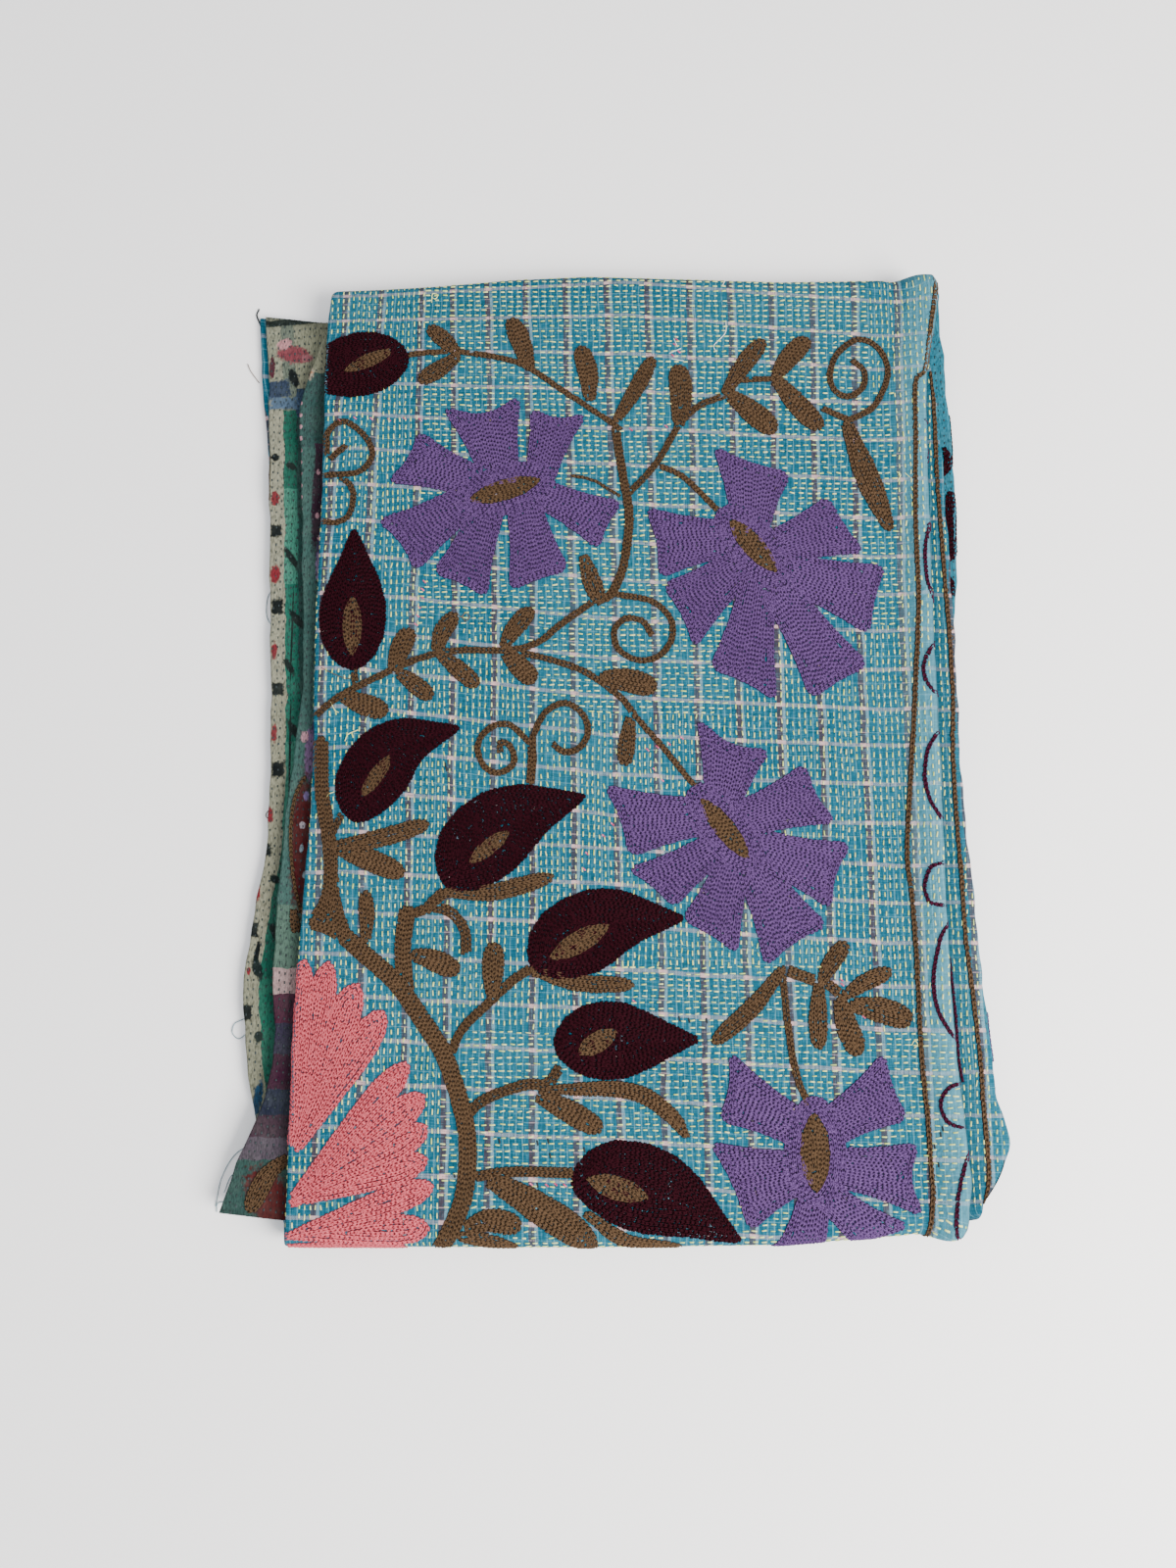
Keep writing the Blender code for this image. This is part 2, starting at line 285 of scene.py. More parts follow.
def turn_row(section, share, lower_level, side, set_back):
    """The same for one row round a turn of the whole strip, from the top panel down."""
    angle = math.pi * share
    centre_level, inner = (TOP_LEVEL + lower_level) / 2.0, (TOP_LEVEL - lower_level) / 2.0
    points, shifts = [], []
    for x, level in across(section, ease(share / PLEAT_OPEN_BY), pitch_at(0.0, section.y)):
        here = pitch_at(x, section.y)
        out = (inner + level) * here
        shift = -side * between(set_back, x)
        points.append((x, section.y + side * out * math.sin(angle) + shift,
                       CLOTH / 2.0 + centre_level * here + out * math.cos(angle)))
        shifts.append(shift)
    return points, shifts


def folded_rows():
    """All rows of the cloth, from the bottom panel's hem to the middle panel's."""
    bottom = sections(BOTTOM_PANEL, BOTTOM_ROWS)
    top = sections(TOP_PANEL, TOP_ROWS)
    middle = sections(MIDDLE_PANEL, MIDDLE_ROWS)
    rows = [flat_row(s, BOTTOM_LEVEL, -1, NEAR_SET_BACK, BOTTOM_HEM_SET_BACK, 1.0)
            for s in bottom]
    for i in range(NEAR_TURN_ROWS - 1, 0, -1):
        share = i / NEAR_TURN_ROWS
        section = blend(top[0], bottom[-1], ease(share))
        rows.append(turn_row(section, share, BOTTOM_LEVEL, -1, NEAR_SET_BACK))
    rows += [flat_row(s, TOP_LEVEL, 1, NEAR_SET_BACK, FAR_SET_BACK, 0.0) for s in top]
    for i in range(1, FAR_TURN_ROWS):
        share = i / FAR_TURN_ROWS
        section = blend(top[-1], middle[0], ease(share))
        rows.append(turn_row(section, share, MIDDLE_LEVEL, 1, FAR_SET_BACK))
    rows += [flat_row(s, MIDDLE_LEVEL, -1, MIDDLE_HEM_SET_BACK, FAR_SET_BACK, 1.0)
             for s in middle]
    return np.array([points for points, _ in rows]), np.array([shifts for _, shifts in rows])


TOP_START = BOTTOM_ROWS + NEAR_TURN_ROWS - 1
MIDDLE_START = TOP_START + TOP_ROWS + FAR_TURN_ROWS - 1

# The cloth's middle surface, rows by columns, and where each point lies on the flat quilt:
# u across it and v along it, the same as x and y on the top panel.
sheet_points, sheet_shifts = folded_rows()
steps_across = np.linalg.norm(np.diff(sheet_points[:, :, [0, 2]], axis=1), axis=2)
run_across = np.concatenate([np.zeros((len(sheet_points), 1)), np.cumsum(steps_across, axis=1)], 1)
sheet_u = (sheet_points[:, FRONT_MIDDLE, :1] + run_across[:, FRONT_MIDDLE, None]) - run_across
from_hem = run_across[:, -1:] - run_across
spine = sheet_points[:, FRONT_MIDDLE]
run_along = np.concatenate([[0.0], np.cumsum(np.linalg.norm(np.diff(spine[:, 1:], axis=0), axis=1))])
middle_row = TOP_START + int(np.argmin(np.abs(sheet_points[TOP_START:TOP_START + TOP_ROWS,
                                                           FRONT_MIDDLE, 1])))
sheet_v = (run_along - run_along[middle_row] + spine[middle_row, 1])[:, None] + sheet_shifts
rise = np.gradient(sheet_points, axis=0)
stretch = np.gradient(sheet_points, axis=1)
sheet_front = np.cross(rise, stretch)
sheet_front /= np.linalg.norm(sheet_front, axis=2, keepdims=True)


# ---------------------------------------------------------------- the check's wandering lines
CHECK_WIDE, CHECK_LONG = 30.2, 28.7     # the check's repeat, across and along the quilt

# x of each violet stripe at the far edge, the middle and the near edge of the top panel.
STRIPES_AT = (340.0, 95.0, -290.0)
STRIPES = [
    (-199, -210, -203), (-173, -179, -173), (-142, -144, -143), (-119, -114, -116),
    (-93, -84, -85), (-64, -57, -55), (-34, -28, -24), (-3, 3, 5), (28, 31, 36), (60, 61, 65),
    (91, 91, 95), (122, 120, 125), (153, 149, 155), (184, 179, 186), (217, 211, 217),
    (247, 238, 246),
]
# v of each pale band, in the image, where it passes u = 340, 620 and 900.
BANDS_AT = (340, 620, 900)
BANDS = [
    (301, 287, 307), (326, 321, 342), (357, 360, 376), (389, 398, 411), (421, 436, 449),
    (457, 473, 490), (493, 512, 528), (530, 552, 568), (565, 591, 606), (604, 632, 643),
    (642, 672, 683), (681, 711, 723), (721, 750, 760), (762, 790, 800), (805, 832, 840),
    (848, 866, 883), (890, 902, 921), (930, 945, 962), (973, 988, 1007), (1015, 1031, 1051),
    (1058, 1077, 1095), (1103, 1121, 1139), (1150, 1163, 1183), (1196, 1208, 1227),
    (1243, 1255, 1270),
]


MORE_REPEATS = 60       # how far the check goes on past its charted lines, each way


def repeats_to(place, lines, spacing):
    """How many repeats along a place lies: lines are counted, and evenly spaced past the last."""
    past = MORE_REPEATS * spacing
    lines = np.concatenate([[lines[0] - past], lines, [lines[-1] + past]])
    count = np.arange(len(lines) - 2, dtype=float)
    return np.interp(place, lines, np.concatenate(
        [[-MORE_REPEATS], count, [count[-1] + MORE_REPEATS]]))


def lay_check():
    """The check's own u and v, in mm, at each point of the sheet."""
    check_u, check_v = np.empty_like(sheet_u), np.empty_like(sheet_v)
    stripes = np.array(STRIPES, float)
    for i in range(len(check_u)):
        along = sheet_v[i].mean()
        lines = np.array([np.interp(-along, [-at for at in STRIPES_AT], row) for row in stripes])
        check_u[i] = repeats_to(sheet_u[i], lines, CHECK_WIDE) * CHECK_WIDE
    at_x = [seen(u, 780)[0] for u in BANDS_AT]
    bands_y = np.array([[seen(u, v)[1] for u, v in zip(BANDS_AT, row)] for row in BANDS])[::-1]
    for j in range(check_v.shape[1]):
        lines = np.array([np.interp(sheet_u[:, j].mean(), at_x, row) for row in bands_y])
        check_v[:, j] = repeats_to(sheet_v[:, j], lines, CHECK_LONG) * CHECK_LONG
    return check_u, check_v


check_u, check_v = lay_check()


class Face:
    """One face of the cloth: finds where a flat place (a, b) lies on the folded quilt."""
    STEP = 1.5          # spacing of the lattice of known places
    CELL = 0.5          # size of a cell of its three grids

    def __init__(self, a, b, points, out, a_range, b_range):
        """Lays an even lattice over the ranges, from places a, b known at the sheet's points."""
        layers = [b] + [points[..., i] for i in range(3)] + [out[..., i] for i in range(3)]
        if a[0, 0] > a[0, -1]:
            a, layers = a[:, ::-1], [layer[:, ::-1] for layer in layers]
        if layers[0][0].mean() > layers[0][-1].mean():
            a, layers = a[::-1], [layer[::-1] for layer in layers]
        self.low = np.array([a_range[0], b_range[0]])
        across_at = np.arange(a_range[0], a_range[1], self.STEP)
        along_at = np.arange(b_range[0], b_range[1], self.STEP)
        even = np.array([[np.interp(across_at, a_row, row) for a_row, row in zip(a, layer)]
                         for layer in layers])
        self.lattice = np.array([[np.interp(along_at, even[0, :, k], layer[:, k])
                                  for k in range(len(across_at))] for layer in even[1:]])
        size = [int((high - low) / self.CELL) + 2 for low, high in (a_range, b_range)]
        self.taken = np.zeros(size, bool)       # too close for another link of embroidery
        self.filled = np.zeros(size, bool)      # so well covered that no spare link is needed
        self.covered = np.zeros(size, bool)     # under embroidery, so no running stitches

    def place(self, a, b, height):
        """Points in metres, for arrays of flat places and heights over the face in mm."""
        i, j = (np.stack([a, b]) - self.low[:, None]) / self.STEP
        i = np.clip(i, 0.0, self.lattice.shape[1] - 1.001)
        j = np.clip(j, 0.0, self.lattice.shape[2] - 1.001)
        i0, j0 = i.astype(int), j.astype(int)
        s, t = i - i0, j - j0
        found = (self.lattice[:, i0, j0] * (1 - s) * (1 - t)
                 + self.lattice[:, i0 + 1, j0] * s * (1 - t)
                 + self.lattice[:, i0, j0 + 1] * (1 - s) * t
                 + self.lattice[:, i0 + 1, j0 + 1] * s * t)
        return (found[:3] + found[3:] * (CLOTH / 2.0 + height)).T * MM

    def cells(self, places):
        """The cell of a grid that each place lies in."""
        at = ((places - self.low) / self.CELL).astype(int)
        return np.clip(at, 0, np.array(self.taken.shape) - 1)

    def stamp(self, grid, places, radius):
        """Marks a disc round each place."""
        reach = int(radius / self.CELL)
        for i, j in self.cells(places):
            for di in range(-reach, reach + 1):
                dj = int(math.sqrt(reach * reach - di * di))
                if 0 <= i + di < grid.shape[0]:
                    grid[i + di, max(j - dj, 0):j + dj + 1] = True

    def marked(self, grid, places):
        """Whether the cell of each place is marked."""
        i, j = self.cells(places).T
        return grid[i, j]


top_rows = slice(TOP_START, TOP_START + TOP_ROWS)
back_columns = slice(BACK_START, None)
strip_columns = slice(0, HEM_STEPS + FOLD_STEPS // 2)
bottom_rows, middle_rows = slice(0, BOTTOM_ROWS), slice(MIDDLE_START, None)


def layer_face(rows, columns, side, a_range, b_range):
    """A flat stretch of one layer, with its places given as x and y."""
    points = sheet_points[rows, columns]
    return Face(points[..., 0], points[..., 1], points, side * sheet_front[rows, columns],
                a_range, b_range)


front = Face(sheet_u, sheet_v, sheet_points, sheet_front, (-310.0, 330.0), (-470.0, 430.0))
border = layer_face(top_rows, strip_columns, 1.0, (225.0, 285.0), (-360.0, 360.0))
middle_back = layer_face(middle_rows, back_columns, -1.0, (-285.0, 285.0), (-360.0, 360.0))
bottom_back = layer_face(bottom_rows, back_columns, -1.0, (-285.0, 285.0), (-360.0, 345.0))


# ---------------------------------------------------------------- colours and materials
def colour(code):
    """An sRGB hex colour as linear RGBA."""
    parts = [int(code[i:i + 2], 16) / 255.0 for i in (1, 3, 5)]
    return tuple(c / 12.92 if c <= 0.04045 else ((c + 0.055) / 1.055) ** 2.4
                 for c in parts) + (1.0,)


def feed(tree, node, inputs):
    """Sets or links inputs of a node, given as (socket, value).

    A value may be plain, a hex colour, an output or a node, which gives its first output in use.
    """
    for socket, value in inputs:
        if isinstance(value, bpy.types.Node):
            value = next(output for output in value.outputs if output.enabled)
        if isinstance(value, bpy.types.NodeSocket):
            tree.links.new(value, node.inputs[socket])
        else:
            node.inputs[socket].default_value = colour(value) if isinstance(value, str) else value


def add(tree, kind, inputs=(), **settings):
    """Adds a node with its settings and its inputs."""
    node = tree.nodes.new("ShaderNode" + kind)
    for name, value in settings.items():
        setattr(node, name, value)
    feed(tree, node, inputs)
    return node


def new_material(name, roughness, shine=0.12):
    """A material, its node tree and its shader; fibres scatter light, so they hardly shine."""
    material = bpy.data.materials.new(name)
    material.use_nodes = True
    tree = material.node_tree
    shader = tree.nodes["Principled BSDF"]
    feed(tree, shader, [("Roughness", roughness), ("Specular IOR Level", shine)])
    return material, tree, shader


def set_stops(ramp, stops, sharp=False):
    """Gives a ramp its stops: (share, hex colour or (hex colour, alpha))."""
    ramp.color_ramp.interpolation = "CONSTANT" if sharp else "LINEAR"
    elements = ramp.color_ramp.elements
    while len(elements) < len(stops):
        elements.new(0.5)
    for element, (share, tone) in zip(elements, stops):
        code, alpha = tone if isinstance(tone, tuple) else (tone, 1.0)
        element.position, element.color = share, colour(code)[:3] + (alpha,)


def bands(tree, place, low, high, stops, sharp=False):
    """Colours along a length; the places of low, high and the stops are in mm."""
    share = add(tree, "MapRange", [("Value", place), ("From Min", low * MM), ("From Max", high * MM)])
    ramp = add(tree, "ValToRGB", [("Fac", share)])
    set_stops(ramp, [((at - low) / (high - low), tone) for at, tone in stops], sharp)
    return ramp


def lay_over(tree, under, *layers):
    """Lays colours over one another, from below up; each layer is (mask, colour)."""
    for mask, tone in layers:
        under = add(tree, "Mix", [("Factor", mask), (6, under), (7, tone)], data_type="RGBA")
    return under


WEAVE = 1.5             # two threads of the plain weave, in mm, drawn coarse so that it shows


def check_cotton():
    """Worn handloom cotton, yarn dyed: a window-pane check in plain weave, matte and slubby."""
    material, tree, shader = new_material("check_cotton", 0.9)
    cloth = add(tree, "UVMap", uv_map="cloth")
    drift = add(tree, "TexNoise", [("Vector", cloth), ("Scale", 30.0), ("Detail", 3.0)])
    drift = add(tree, "VectorMath", [(0, drift.outputs["Color"]), (1, (0.5, 0.5, 0.5))],
                operation="SUBTRACT")
    drift = add(tree, "VectorMath", [(0, drift), ("Scale", 0.0035)], operation="SCALE")
    place = add(tree, "VectorMath", [(0, cloth), (1, drift)], operation="ADD")
    ways = add(tree, "SeparateXYZ", [("Vector", place)]).outputs

    # Warp: a violet-grey stripe and a pale one to its right, then thin pale lines. Weft: a pale
    # band, then thin pale lines. Each starts a little before its repeat does.
    warp_stops = [(0.0, ("#33252e", 1.0)), (3.9, ("#3a2c35", 1.0)), (4.3, ("#5d7985", 0.75)),
                  (6.0, ("#5d7f8c", 0.65)), (6.5, ("#04465a", 0.0))]
    for line in (11.8, 16.4, 21.0, 25.6):
        warp_stops += [(line, ("#04465a", 0.0)), (line + 0.6, ("#55868f", 0.35)),
                       (line + 1.2, ("#04465a", 0.0))]
    weft_stops = [(0.0, ("#6a7480", 0.5)), (2.5, ("#6d7580", 0.5)), (3.1, ("#064b5e", 0.0))]
    for line in (10.6, 19.6):
        weft_stops += [(line, ("#064b5e", 0.0)), (line + 0.5, ("#52858e", 0.3)),
                       (line + 1.0, ("#064b5e", 0.0))]
    stripes, waves = [], []
    for way, lead, repeat, stops in (("X", 2.0, CHECK_WIDE, warp_stops),
                                     ("Y", 1.4, CHECK_LONG, weft_stops)):
        moved = add(tree, "Math", [(0, ways[way]), (1, lead * MM)], operation="ADD")
        within = add(tree, "Math", [(0, moved), (1, repeat * MM)], operation="FLOORED_MODULO")
        stripes.append(bands(tree, within, 0.0, repeat, stops))
        turn = add(tree, "Math", [(0, ways[way]), (1, TAU / (WEAVE * MM))], operation="MULTIPLY")
        waves.append(add(tree, "Math", [(0, turn)], operation="SINE"))
    warp, weft = stripes
    weave = add(tree, "Math", list(enumerate(waves)), operation="MULTIPLY")

    # The weft shows more where its thread lies over the warp, and less on the violet stripes.
    over = add(tree, "MapRange", [("Value", weave), ("From Min", -0.35), ("From Max", 0.35)])
    over = add(tree, "MapRange", [("Value", over), ("To Min", 0.22), ("To Max", 0.62)])
    banded = add(tree, "Math", [(0, weft.outputs["Alpha"]), (1, 0.6), (2, over)],
                 operation="MULTIPLY_ADD")
    banded = add(tree, "Math", [(0, warp.outputs["Alpha"]), (1, -0.45), (2, banded)],
                 operation="MULTIPLY_ADD", use_clamp=True)

    # Where two stripes cross the cloth shows a dull pink block.
    crossing = add(tree, "Math", [(0, warp.outputs["Alpha"]), (1, weft.outputs["Alpha"])],
                   operation="MULTIPLY")
    crossing = add(tree, "Math", [(0, crossing), (1, 2.0)], operation="MULTIPLY")

    # Slubs: threads that run darker or paler for a centimetre or two, each way.
    slubs = []
    for stretched in ((1300.0, 75.0, 1.0), (75.0, 1300.0, 7.0)):
        drawn = add(tree, "VectorMath", [(0, place), (1, stretched)], operation="MULTIPLY")
        slubs.append(add(tree, "TexNoise", [("Vector", drawn), ("Scale", 1.0), ("Detail", 2.0)]))
    slubs = add(tree, "Math", list(enumerate(slubs)), operation="ADD")
    pale = add(tree, "MapRange", [("Value", slubs), ("From Min", 1.02), ("From Max", 1.28),
                                  ("To Max", 0.4)])
    dark = add(tree, "MapRange", [("Value", slubs), ("From Min", 0.96), ("From Max", 0.74),
                                  ("To Max", 0.8)])

    # Washing and sun have faded it unevenly, over a hand's breadth at a time.
    fading = add(tree, "TexNoise", [("Vector", cloth), ("Scale", 7.0), ("Detail", 3.0),
                                    ("Roughness", 0.55)])
    fading = add(tree, "MapRange", [("Value", fading), ("From Min", 0.42), ("From Max", 0.75),
                                    ("To Max", 0.18)])

    # Painted light at the pleat: a painted highlight on the front where it rises to the raised fold,
    # and painted shadow on the strip tucked under it.
    from_pleat = add(tree, "SeparateXYZ", [("Vector", add(tree, "UVMap", uv_map="from_pleat"))])
    crease = bands(tree, from_pleat.outputs["X"], -60.0, 60.0, [
        (-60.0, ("#5f98a6", 0.0)), (-27.0, ("#5f98a6", 0.0)), (-18.0, ("#5f98a6", 0.2)),
        (-3.0, ("#6ba3b0", 0.3)), (-0.5, ("#01222c", 0.85)), (15.0, ("#01222c", 0.85)),
        (18.0, ("#022a35", 0.55)), (26.0, ("#022a35", 0.3)), (36.0, ("#022a35", 0.0))])
    # The check's dyed colours, with the painted pleat shadow and highlight laid over them last.
    dyed_with_painted_pleat_shading = lay_over(tree, warp, (banded, weft), (crossing, "#b3908e"), (pale, "#4c8290"),
                    (dark, "#053640"), (fading, "#3b7a88"), (crease.outputs["Alpha"], crease))

    # Rows of running stitches pull the cloth into small puckers about 4 mm apart.
    puckers = add(tree, "TexNoise", [("Vector", place), ("Scale", 260.0), ("Detail", 1.0)])
    threads = add(tree, "Math", [(0, weave), (1, slubs)], operation="ADD")
    fine = add(tree, "Bump", [("Height", threads), ("Strength", 0.5), ("Distance", 0.12 * MM)])
    coarse = add(tree, "Bump", [("Height", puckers), ("Strength", 0.8), ("Distance", 1.6 * MM),
                                ("Normal", fine)])
    feed(tree, shader, [("Base Color", dyed_with_painted_pleat_shading), ("Normal", coarse)])
    return material


def print_marks(tree, under, spot, marks, height):
    """Printed or stained marks over a colour: (u, v, wide, long, turn, colour, square)."""
    ragged = add(tree, "TexNoise", [("Vector", spot), ("Scale", 420.0), ("Detail", 2.0)])
    ragged = add(tree, "Math", [(0, ragged), (1, 0.9), (2, -0.45)], operation="MULTIPLY_ADD")
    layers = []
    for u, v, wide, long, turn, code, square in marks:
        x, y = seen(u, v, height)
        within = add(tree, "Mapping", [
            ("Vector", spot), ("Location", (x * MM, y * MM, 0.0)),
            ("Rotation", (0.0, 0.0, math.radians(turn))),
            ("Scale", (wide * UNIT * MM / 2.0, long * UNIT * MM / 2.0, 1000.0))],
            vector_type="TEXTURE")
        if square:
            sides = add(tree, "VectorMath", [(0, within)], operation="ABSOLUTE")
            sides = add(tree, "SeparateXYZ", [("Vector", sides)]).outputs
            reach = add(tree, "Math", [(0, sides["X"]), (1, sides["Y"])], operation="MAXIMUM")
        else:
            reach = add(tree, "VectorMath", [(0, within)], operation="LENGTH")
        reach = add(tree, "Math", [(0, reach), (1, ragged)], operation="ADD")
        mask = add(tree, "MapRange", [("Value", reach), ("From Min", 1.15), ("From Max", 0.85)])
        layers.append((mask, code))
    return lay_over(tree, under, *layers)


# The marks on the two ledges: u, v, width and length in the image, turn, colour, square or round.
RED, BLACK, DEEP_GREEN, PLUM, ROSE = "#7a1d27", "#030506", "#061613", "#2b0b22", "#b0818b"
BOTTOM_MARKS = [
    (300, 329, 72, 7, 5, "#06140f", True), (300, 362, 36, 20, -10, "#7c3840", False),
    (290, 352, 16, 12, 30, "#c0878a", False), (313, 366, 12, 9, 0, "#8e5158", False),
    (278, 376, 6, 26, 0, "#471223", False), (284, 398, 26, 20, 10, "#27344d", True),
    (300, 386, 10, 22, 20, BLACK, False), (290, 412, 30, 13, 0, "#4a5f76", True),
    (281, 467, 9, 9, 0, BLACK, False), (297, 476, 12, 7, -30, DEEP_GREEN, False),
    (281, 509, 9, 16, 0, RED, False), (282, 542, 12, 13, 0, BLACK, True),
    (281, 586, 11, 19, 0, RED, False), (283, 619, 12, 16, 0, BLACK, True),
    (280, 664, 6, 19, 0, RED, False), (284, 703, 12, 13, 0, BLACK, True),
    (280, 748, 6, 20, 0, RED, False), (284, 785, 13, 15, 0, BLACK, True),
    (275, 831, 7, 18, 10, RED, False), (270, 867, 14, 13, 0, BLACK, True),
    (261, 908, 9, 24, 8, RED, False), (257, 948, 14, 15, 0, BLACK, True),
    (262, 975, 5, 34, -8, BLACK, False), (254, 991, 4, 8, 0, RED, False),
    (252, 1033, 9, 16, 0, BLACK, True),
    (297, 569, 7, 26, 32, DEEP_GREEN, False), (303, 632, 8, 24, 38, DEEP_GREEN, False),
    (295, 680, 7, 20, 32, DEEP_GREEN, False), (303, 748, 8, 32, 38, DEEP_GREEN, False),
    (298, 650, 2, 110, 0, DEEP_GREEN, False), (296, 765, 2, 110, 1, DEEP_GREEN, False),
    (281, 897, 8, 13, 50, DEEP_GREEN, False), (281, 952, 8, 22, 30, DEEP_GREEN, False),
    (263, 989, 10, 22, 20, DEEP_GREEN, False), (264, 1058, 9, 12, 0, DEEP_GREEN, False),
    (263, 1122, 9, 36, -8, "#173f5c", False),
]
MIDDLE_MARKS = [
    (314, 379, 12, 20, 20, "#a99a86", False), (313, 379, 7, 12, 45, "#b97a52", True),
    (323, 515, 10, 100, 0, PLUM, False), (325, 482, 4, 6, 0, ROSE, False),
    (324, 527, 4, 7, 0, ROSE, False), (326, 549, 4, 6, 0, ROSE, False),
    (325, 578, 6, 30, 0, "#7f6a8a", False), (316, 770, 10, 56, 0, "#6b4f72", False),
    (311, 752, 8, 12, 0, ROSE, False), (308, 862, 22, 140, 0, "#480408", False),
    (309, 842, 6, 7, 0, "#a59aa2", False), (313, 812, 6, 10, 0, "#6c5a86", False),
    (308, 866, 4, 8, 0, "#7d8c94", False), (311, 893, 4, 7, 0, "#7d8c94", False),
    (280, 1229, 40, 80, 36, "#4a0508", False), (300, 329, 72, 7, 5, "#06140f", True),
] + [(307, v, 4, 5, 0, ROSE, False) for v in range(400, 566, 12)] + [
    (956, 331, 11, 12, 0, DEEP_GREEN, False)]


def patchwork_back():
    """The quilt's back: old printed and plain cottons pieced in strips along its left hem."""
    material, tree, shader = new_material("patchwork_cotton", 0.9)
    hem_map = add(tree, "SeparateXYZ", [("Vector", add(tree, "UVMap", uv_map="from_hem"))]).outputs
    spot = add(tree, "TexCoord").outputs["Object"]
    y = add(tree, "SeparateXYZ", [("Vector", spot)]).outputs["Y"]
    ragged = add(tree, "TexNoise", [("Vector", spot), ("Scale", 120.0), ("Detail", 2.0)])
    ragged = add(tree, "Math", [(0, ragged), (1, 0.5)], operation="SUBTRACT")
    in_from_hem, y_ragged = [
        add(tree, "Math", [(0, ragged), (1, depth * MM), (2, way)], operation="MULTIPLY_ADD")
        for depth, way in ((3.0, hem_map["X"]), (5.0, y))]

    def past(way, start):
        """A mask of what lies further than start, in mm."""
        return add(tree, "Math", [(0, way), (1, start * MM)], operation="GREATER_THAN")

    def down(patches, height):
        """Patches from the near end to the far end; each starts at a v of the image."""
        stops = [(seen(270, v, height)[1], code) for v, code in patches]
        stops[0] = (-380.0, stops[0][1])
        return bands(tree, y_ragged, -380.0, 380.0, stops, sharp=True)

    # The lowest panel shows a cream strip by its hem, then a green one, then plain patches.
    cream_strip = down([(1300, "#26443f"), (1170, "#84836d"), (990, "#8c8a74"), (700, "#918f7a"),
                        (421, "#8a8a74")], BOTTOM_LEDGE)
    green_strip = down([(1300, "#26443f"), (1180, "#16604c"), (1000, "#125a48"), (860, "#3a7a66"),
                        (760, "#126250"), (600, "#3c7c68"), (500, "#125c4a"), (421, "#646c5e")],
                       BOTTOM_LEDGE)
    deep_strip = down([(1300, "#26443f"), (900, "#284b44"), (430, "#2c3f58"), (400, "#84846d")],
                      BOTTOM_LEDGE)
    low_panel = lay_over(tree, cream_strip, (past(in_from_hem, 11.0), green_strip),
                         (past(in_from_hem, 21.0), deep_strip))
    low_panel = print_marks(tree, low_panel, spot, BOTTOM_MARKS, BOTTOM_LEDGE)

    # The middle panel shows grey-teal along its hem and plum and lilac further in.
    near_part = [(1300, "#26443f"), (1186, "#4b3f4a"), (1164, "#39202f"), (1142, "#1d1f33"),
                 (1111, "#360a26"), (1077, "#2c2239"), (1046, "#420a2a"), (1018, "#a28684"),
                 (988, "#4d6659")]
    hem_strip = down(near_part + [(925, "#385852"), (730, "#385852"), (460, "#304e4a"),
                                  (384, "#84846d")], MIDDLE_LEDGE)
    inner_strip = down(near_part + [(925, "#24423d"), (789, "#43355a"), (735, "#2f484b"),
                                    (591, "#483a5a"), (551, "#2b0b22"), (467, "#33122a"),
                                    (455, "#26443f"), (384, "#84846d")], MIDDLE_LEDGE)
    high_panel = lay_over(tree, hem_strip, (past(in_from_hem, 10.5), inner_strip))
    high_panel = print_marks(tree, high_panel, spot, MIDDLE_MARKS, MIDDLE_LEDGE)

    # Far from that hem the back is one plain teal cotton. All of it is worn paler in places, and
    # darkened all over by painted shade, most between its threads.
    wear = add(tree, "TexNoise", [("Vector", spot), ("Scale", 60.0), ("Detail", 4.0),
                                  ("Roughness", 0.6)])
    wear = add(tree, "MapRange", [("Value", wear), ("From Min", 0.35), ("From Max", 0.72),
                                  ("To Min", 0.0), ("To Max", 0.16)])
    threads = add(tree, "VectorMath", [(0, spot), (1, (1200.0, 300.0, 300.0))],
                  operation="MULTIPLY")
    threads = add(tree, "TexNoise", [("Vector", threads), ("Scale", 1.0), ("Detail", 2.0)])
    shade = add(tree, "MapRange", [("Value", threads), ("From Min", 0.55), ("From Max", 0.25),
                                   ("To Min", 0.3), ("To Max", 0.8)])
    panel = lay_over(tree, low_panel, (past(hem_map["Y"], 0.0), high_panel),
                     (past(hem_map["X"], 200.0), "#1b6f84"), (wear, "#6d756a"), (shade, "#081011"))
    puckers = add(tree, "TexNoise", [("Vector", spot), ("Scale", 280.0), ("Detail", 2.0)])
    bump = add(tree, "Bump", [("Height", puckers), ("Strength", 0.9), ("Distance", 1.6 * MM)])
    feed(tree, shader, [("Base Color", panel), ("Normal", bump)])
    return material


def hem_edge():
    """The cut edges turned in and oversewn: front cotton rolled with a darker backing."""
    material, tree, shader = new_material("turned_hem_cotton", 0.9)
    spot = add(tree, "TexCoord").outputs["Object"]
    patches = add(tree, "TexNoise", [("Vector", spot), ("Scale", 90.0), ("Detail", 3.0)])
    ramp = add(tree, "ValToRGB", [("Fac", patches)])
    set_stops(ramp, [(0.4, "#0f5a70"), (0.62, "#5a8d97")])
    bump = add(tree, "Bump", [("Height", patches), ("Strength", 0.6), ("Distance", 1.0 * MM)])
    feed(tree, shader, [("Base Color", ramp), ("Normal", bump)])
    return material


